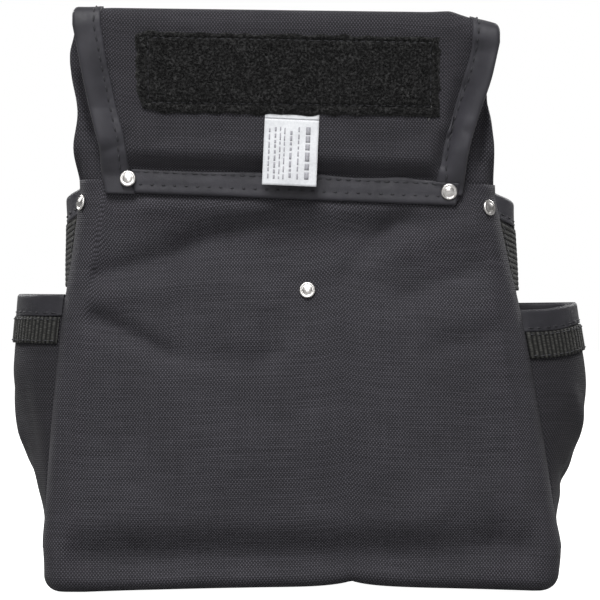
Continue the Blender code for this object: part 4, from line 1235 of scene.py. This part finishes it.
def turned(name, profile, steps, place, out, node):
    """A lathe-turned piece about a line through place, from its profile's radius and height in metres."""
    radius, height = profile.T[..., None, None]
    angles = np.linspace(0, 2 * PI, steps, endpoint=False)[:, None]
    axis = Vector(out).normalized()
    side = axis.orthogonal().normalized()
    ring = np.array(side) * np.cos(angles) + np.array(axis.cross(side)) * np.sin(angles)
    points = np.array(place) + radius * ring + height * np.array(axis)
    faces = grid_faces(len(profile), steps, wrap=True)[:, ::-1].tolist()
    faces.append(list(range(steps)))
    faces.append([(len(profile) - 1) * steps + k for k in reversed(range(steps))])
    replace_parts(piece(name, points, faces, NICKEL), node)


def set_rivet(name, face, out, gap):
    """A domed cap whose foot is at face, and a back that grips its post a gap behind it."""
    face, out = np.array(face), np.array(Vector(out).normalized())
    end = -gap - 0.0009
    post = [(0.0014, 0.0), (0.0013, -0.0003), (0.0013, end), (0.0001, end)]
    dome = np.concatenate([np.array(DOME) * DOME_SCALE, post])
    turned(f"{name}_dome", dome, 40, face + out * GAP, out, f"{name}_cap")
    turned(f"{name}_foot", np.array(FOOT) * mm, 28, face + out * (GAP - gap), out, f"{name}_back")


def cap_place(name, y, dx=0.0, dz=0.0):
    """The middle of a rivet's CAD cap, at a depth of its own."""
    low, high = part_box(f"{name}_cap")
    return ((low.x + high.x) / 2 + dx, y, (low.z + high.z) / 2 + dz)


BOUND = CLOTH / 2 + GAP + TAPE
flap_stack = BOUND_LAYER + BOUND + LAYER + CLOTH / 2
flap_y = REAR_Y - BOUND_LAYER - BOUND - (TAPE + GAP)
for side, out in (("left", (-0.08, -1, 0.17)), ("right", (0.03, -1, -0.10))):
    name = f"flap_rivet_{side}"
    set_rivet(name, cap_place(name, flap_y, 0.0006, -0.0004), out, 2 * GAP + flap_stack)

centre_stack = 2 * GAP + CLOTH / 2 + BOUND_LAYER + BOUND
set_rivet("centre_rivet", cap_place("centre_rivet", REAR_Y - CLOTH / 2), (-0.05, -1, 0.12), centre_stack)

corner_station = 1 + (0.1915 - EVEN_LEVEL) / (CORNER_TOP - EVEN_LEVEL)


def bare_rear(u, v):
    u, v = both(u, v)
    return wall("rear", u, v, rear_top(u))


for side, at in (("left", -1.68), ("right", 1.46)):
    u = np.array([at])
    out = outward(bare_rear, u, corner_station, 0.002, 0.002) + np.array([np.sign(at) * 0.08, 0, 0.05])
    face = settle(bare_rear(u, corner_station) + out * CLOTH / 2)[0]
    set_rivet(f"side_rivet_{side}", face, out[0], GAP + CLOTH + LAYER + 0.0011)

for side in ("left", "right"):
    name = f"front_rivet_{side}"
    place = cap_place(name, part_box(f"{name}_cap")[1].y - 0.0017 - GAP)
    set_rivet(name, place, (0, 1, 0.02), 2 * GAP + BOUND_LAYER + CLOTH)


# ---- the cloth pieces' widths and lengths, measured but not used ----

SMALLEST = 0.0105  # a narrower piece is skipped
for name, (made, points) in sheets.items():
    width, length = (float(arc(points, axis).max()) for axis in (1, 0))
    if min(width, length) < SMALLEST:
        continue


# ---- floor, light and camera ----


def placed(name, data, place):
    made = bpy.data.objects.new(name, data)
    bpy.context.scene.collection.objects.link(made)
    made.location = place
    return made


def seen_by_camera(tree):
    return tree.nodes.new("ShaderNodeLightPath").outputs["Is Camera Ray"]


floor_material = Nodes("studio_floor")
floor_material.set(Base_Color=(0.36, 0.36, 0.36, 1), Roughness=0.9, Emission_Color=(1, 1, 1, 1))
glow = floor_material.times(seen_by_camera(floor_material.tree), 1.0)
floor_material.feed(floor_material.shader.inputs["Emission Strength"], glow)
HALF_FLOOR, FLOOR_LEVEL = 7.0, -0.0004
floor = bpy.data.meshes.new("studio_floor")
square = [(-1, -1), (1, -1), (1, 1), (-1, 1)]
floor.from_pydata([(x * HALF_FLOOR, y * HALF_FLOOR, 0) for x, y in square], [], [(0, 1, 2, 3)])
floor.materials.append(floor_material.material)
placed("studio_floor", floor, (0, 0, FLOOR_LEVEL))

LIT_POINT = Vector((0, 0, 0.13))
for name, place, size, energy in (
    ("key", (-0.37, -2.25, 2.71), 1.35, 128),
    ("front", (-0.1, -2.7, 0.9), 0.8, 16),
    ("behind_left", (-1.6, 1.7, 1.4), 0.8, 38),
    ("behind_right", (1.6, 1.7, 1.4), 0.8, 38),
):
    light = bpy.data.lights.new(name, "AREA")
    light.shape, light.size, light.energy = "SQUARE", size, energy
    aim = (LIT_POINT - Vector(place)).to_track_quat("-Z", "Y")
    placed(name, light, place).rotation_euler = aim.to_euler()

# the sky is dim at the horizon and brighter overhead, and plain white where the camera sees it
world = bpy.data.worlds.new("studio")
bpy.context.scene.world = world
world.use_nodes = True
sky = world.node_tree
backdrop = sky.nodes["Background"]
backdrop.inputs["Color"].default_value = (1, 1, 1, 1)
height_of = sky.nodes.new("ShaderNodeSeparateXYZ")
sky.links.new(sky.nodes.new("ShaderNodeTexCoord").outputs["Generated"], height_of.inputs[0])
overhead = sky.nodes.new("ShaderNodeMapRange")
sky.links.new(height_of.outputs[2], overhead.inputs["Value"])
for key, number in (("From Min", 0.0), ("From Max", 1.0), ("To Min", 0.035), ("To Max", 0.50)):
    overhead.inputs[key].default_value = number
brighter = sky.nodes.new("ShaderNodeMix")
sky.links.new(seen_by_camera(sky), brighter.inputs["Factor"])
sky.links.new(overhead.outputs[0], brighter.inputs["A"])
brighter.inputs["B"].default_value = 1.0
sky.links.new(brighter.outputs["Result"], backdrop.inputs["Strength"])

FRAME_WIDTH, DISTANCE, MIDDLE_HEIGHT, SENSOR = 0.294, 1.5, 0.1438, 36
camera_data = bpy.data.cameras.new("camera")
camera = placed("camera", camera_data, (0.0, REAR_Y - DISTANCE, MIDDLE_HEIGHT))
camera.rotation_euler = (PI / 2, 0, 0)
camera_data.sensor_width = SENSOR
camera_data.lens = SENSOR * DISTANCE / FRAME_WIDTH
camera_data.clip_start, camera_data.clip_end = 0.05, 40
bpy.context.scene.camera = camera
bpy.context.scene.view_settings.view_transform = "Standard"
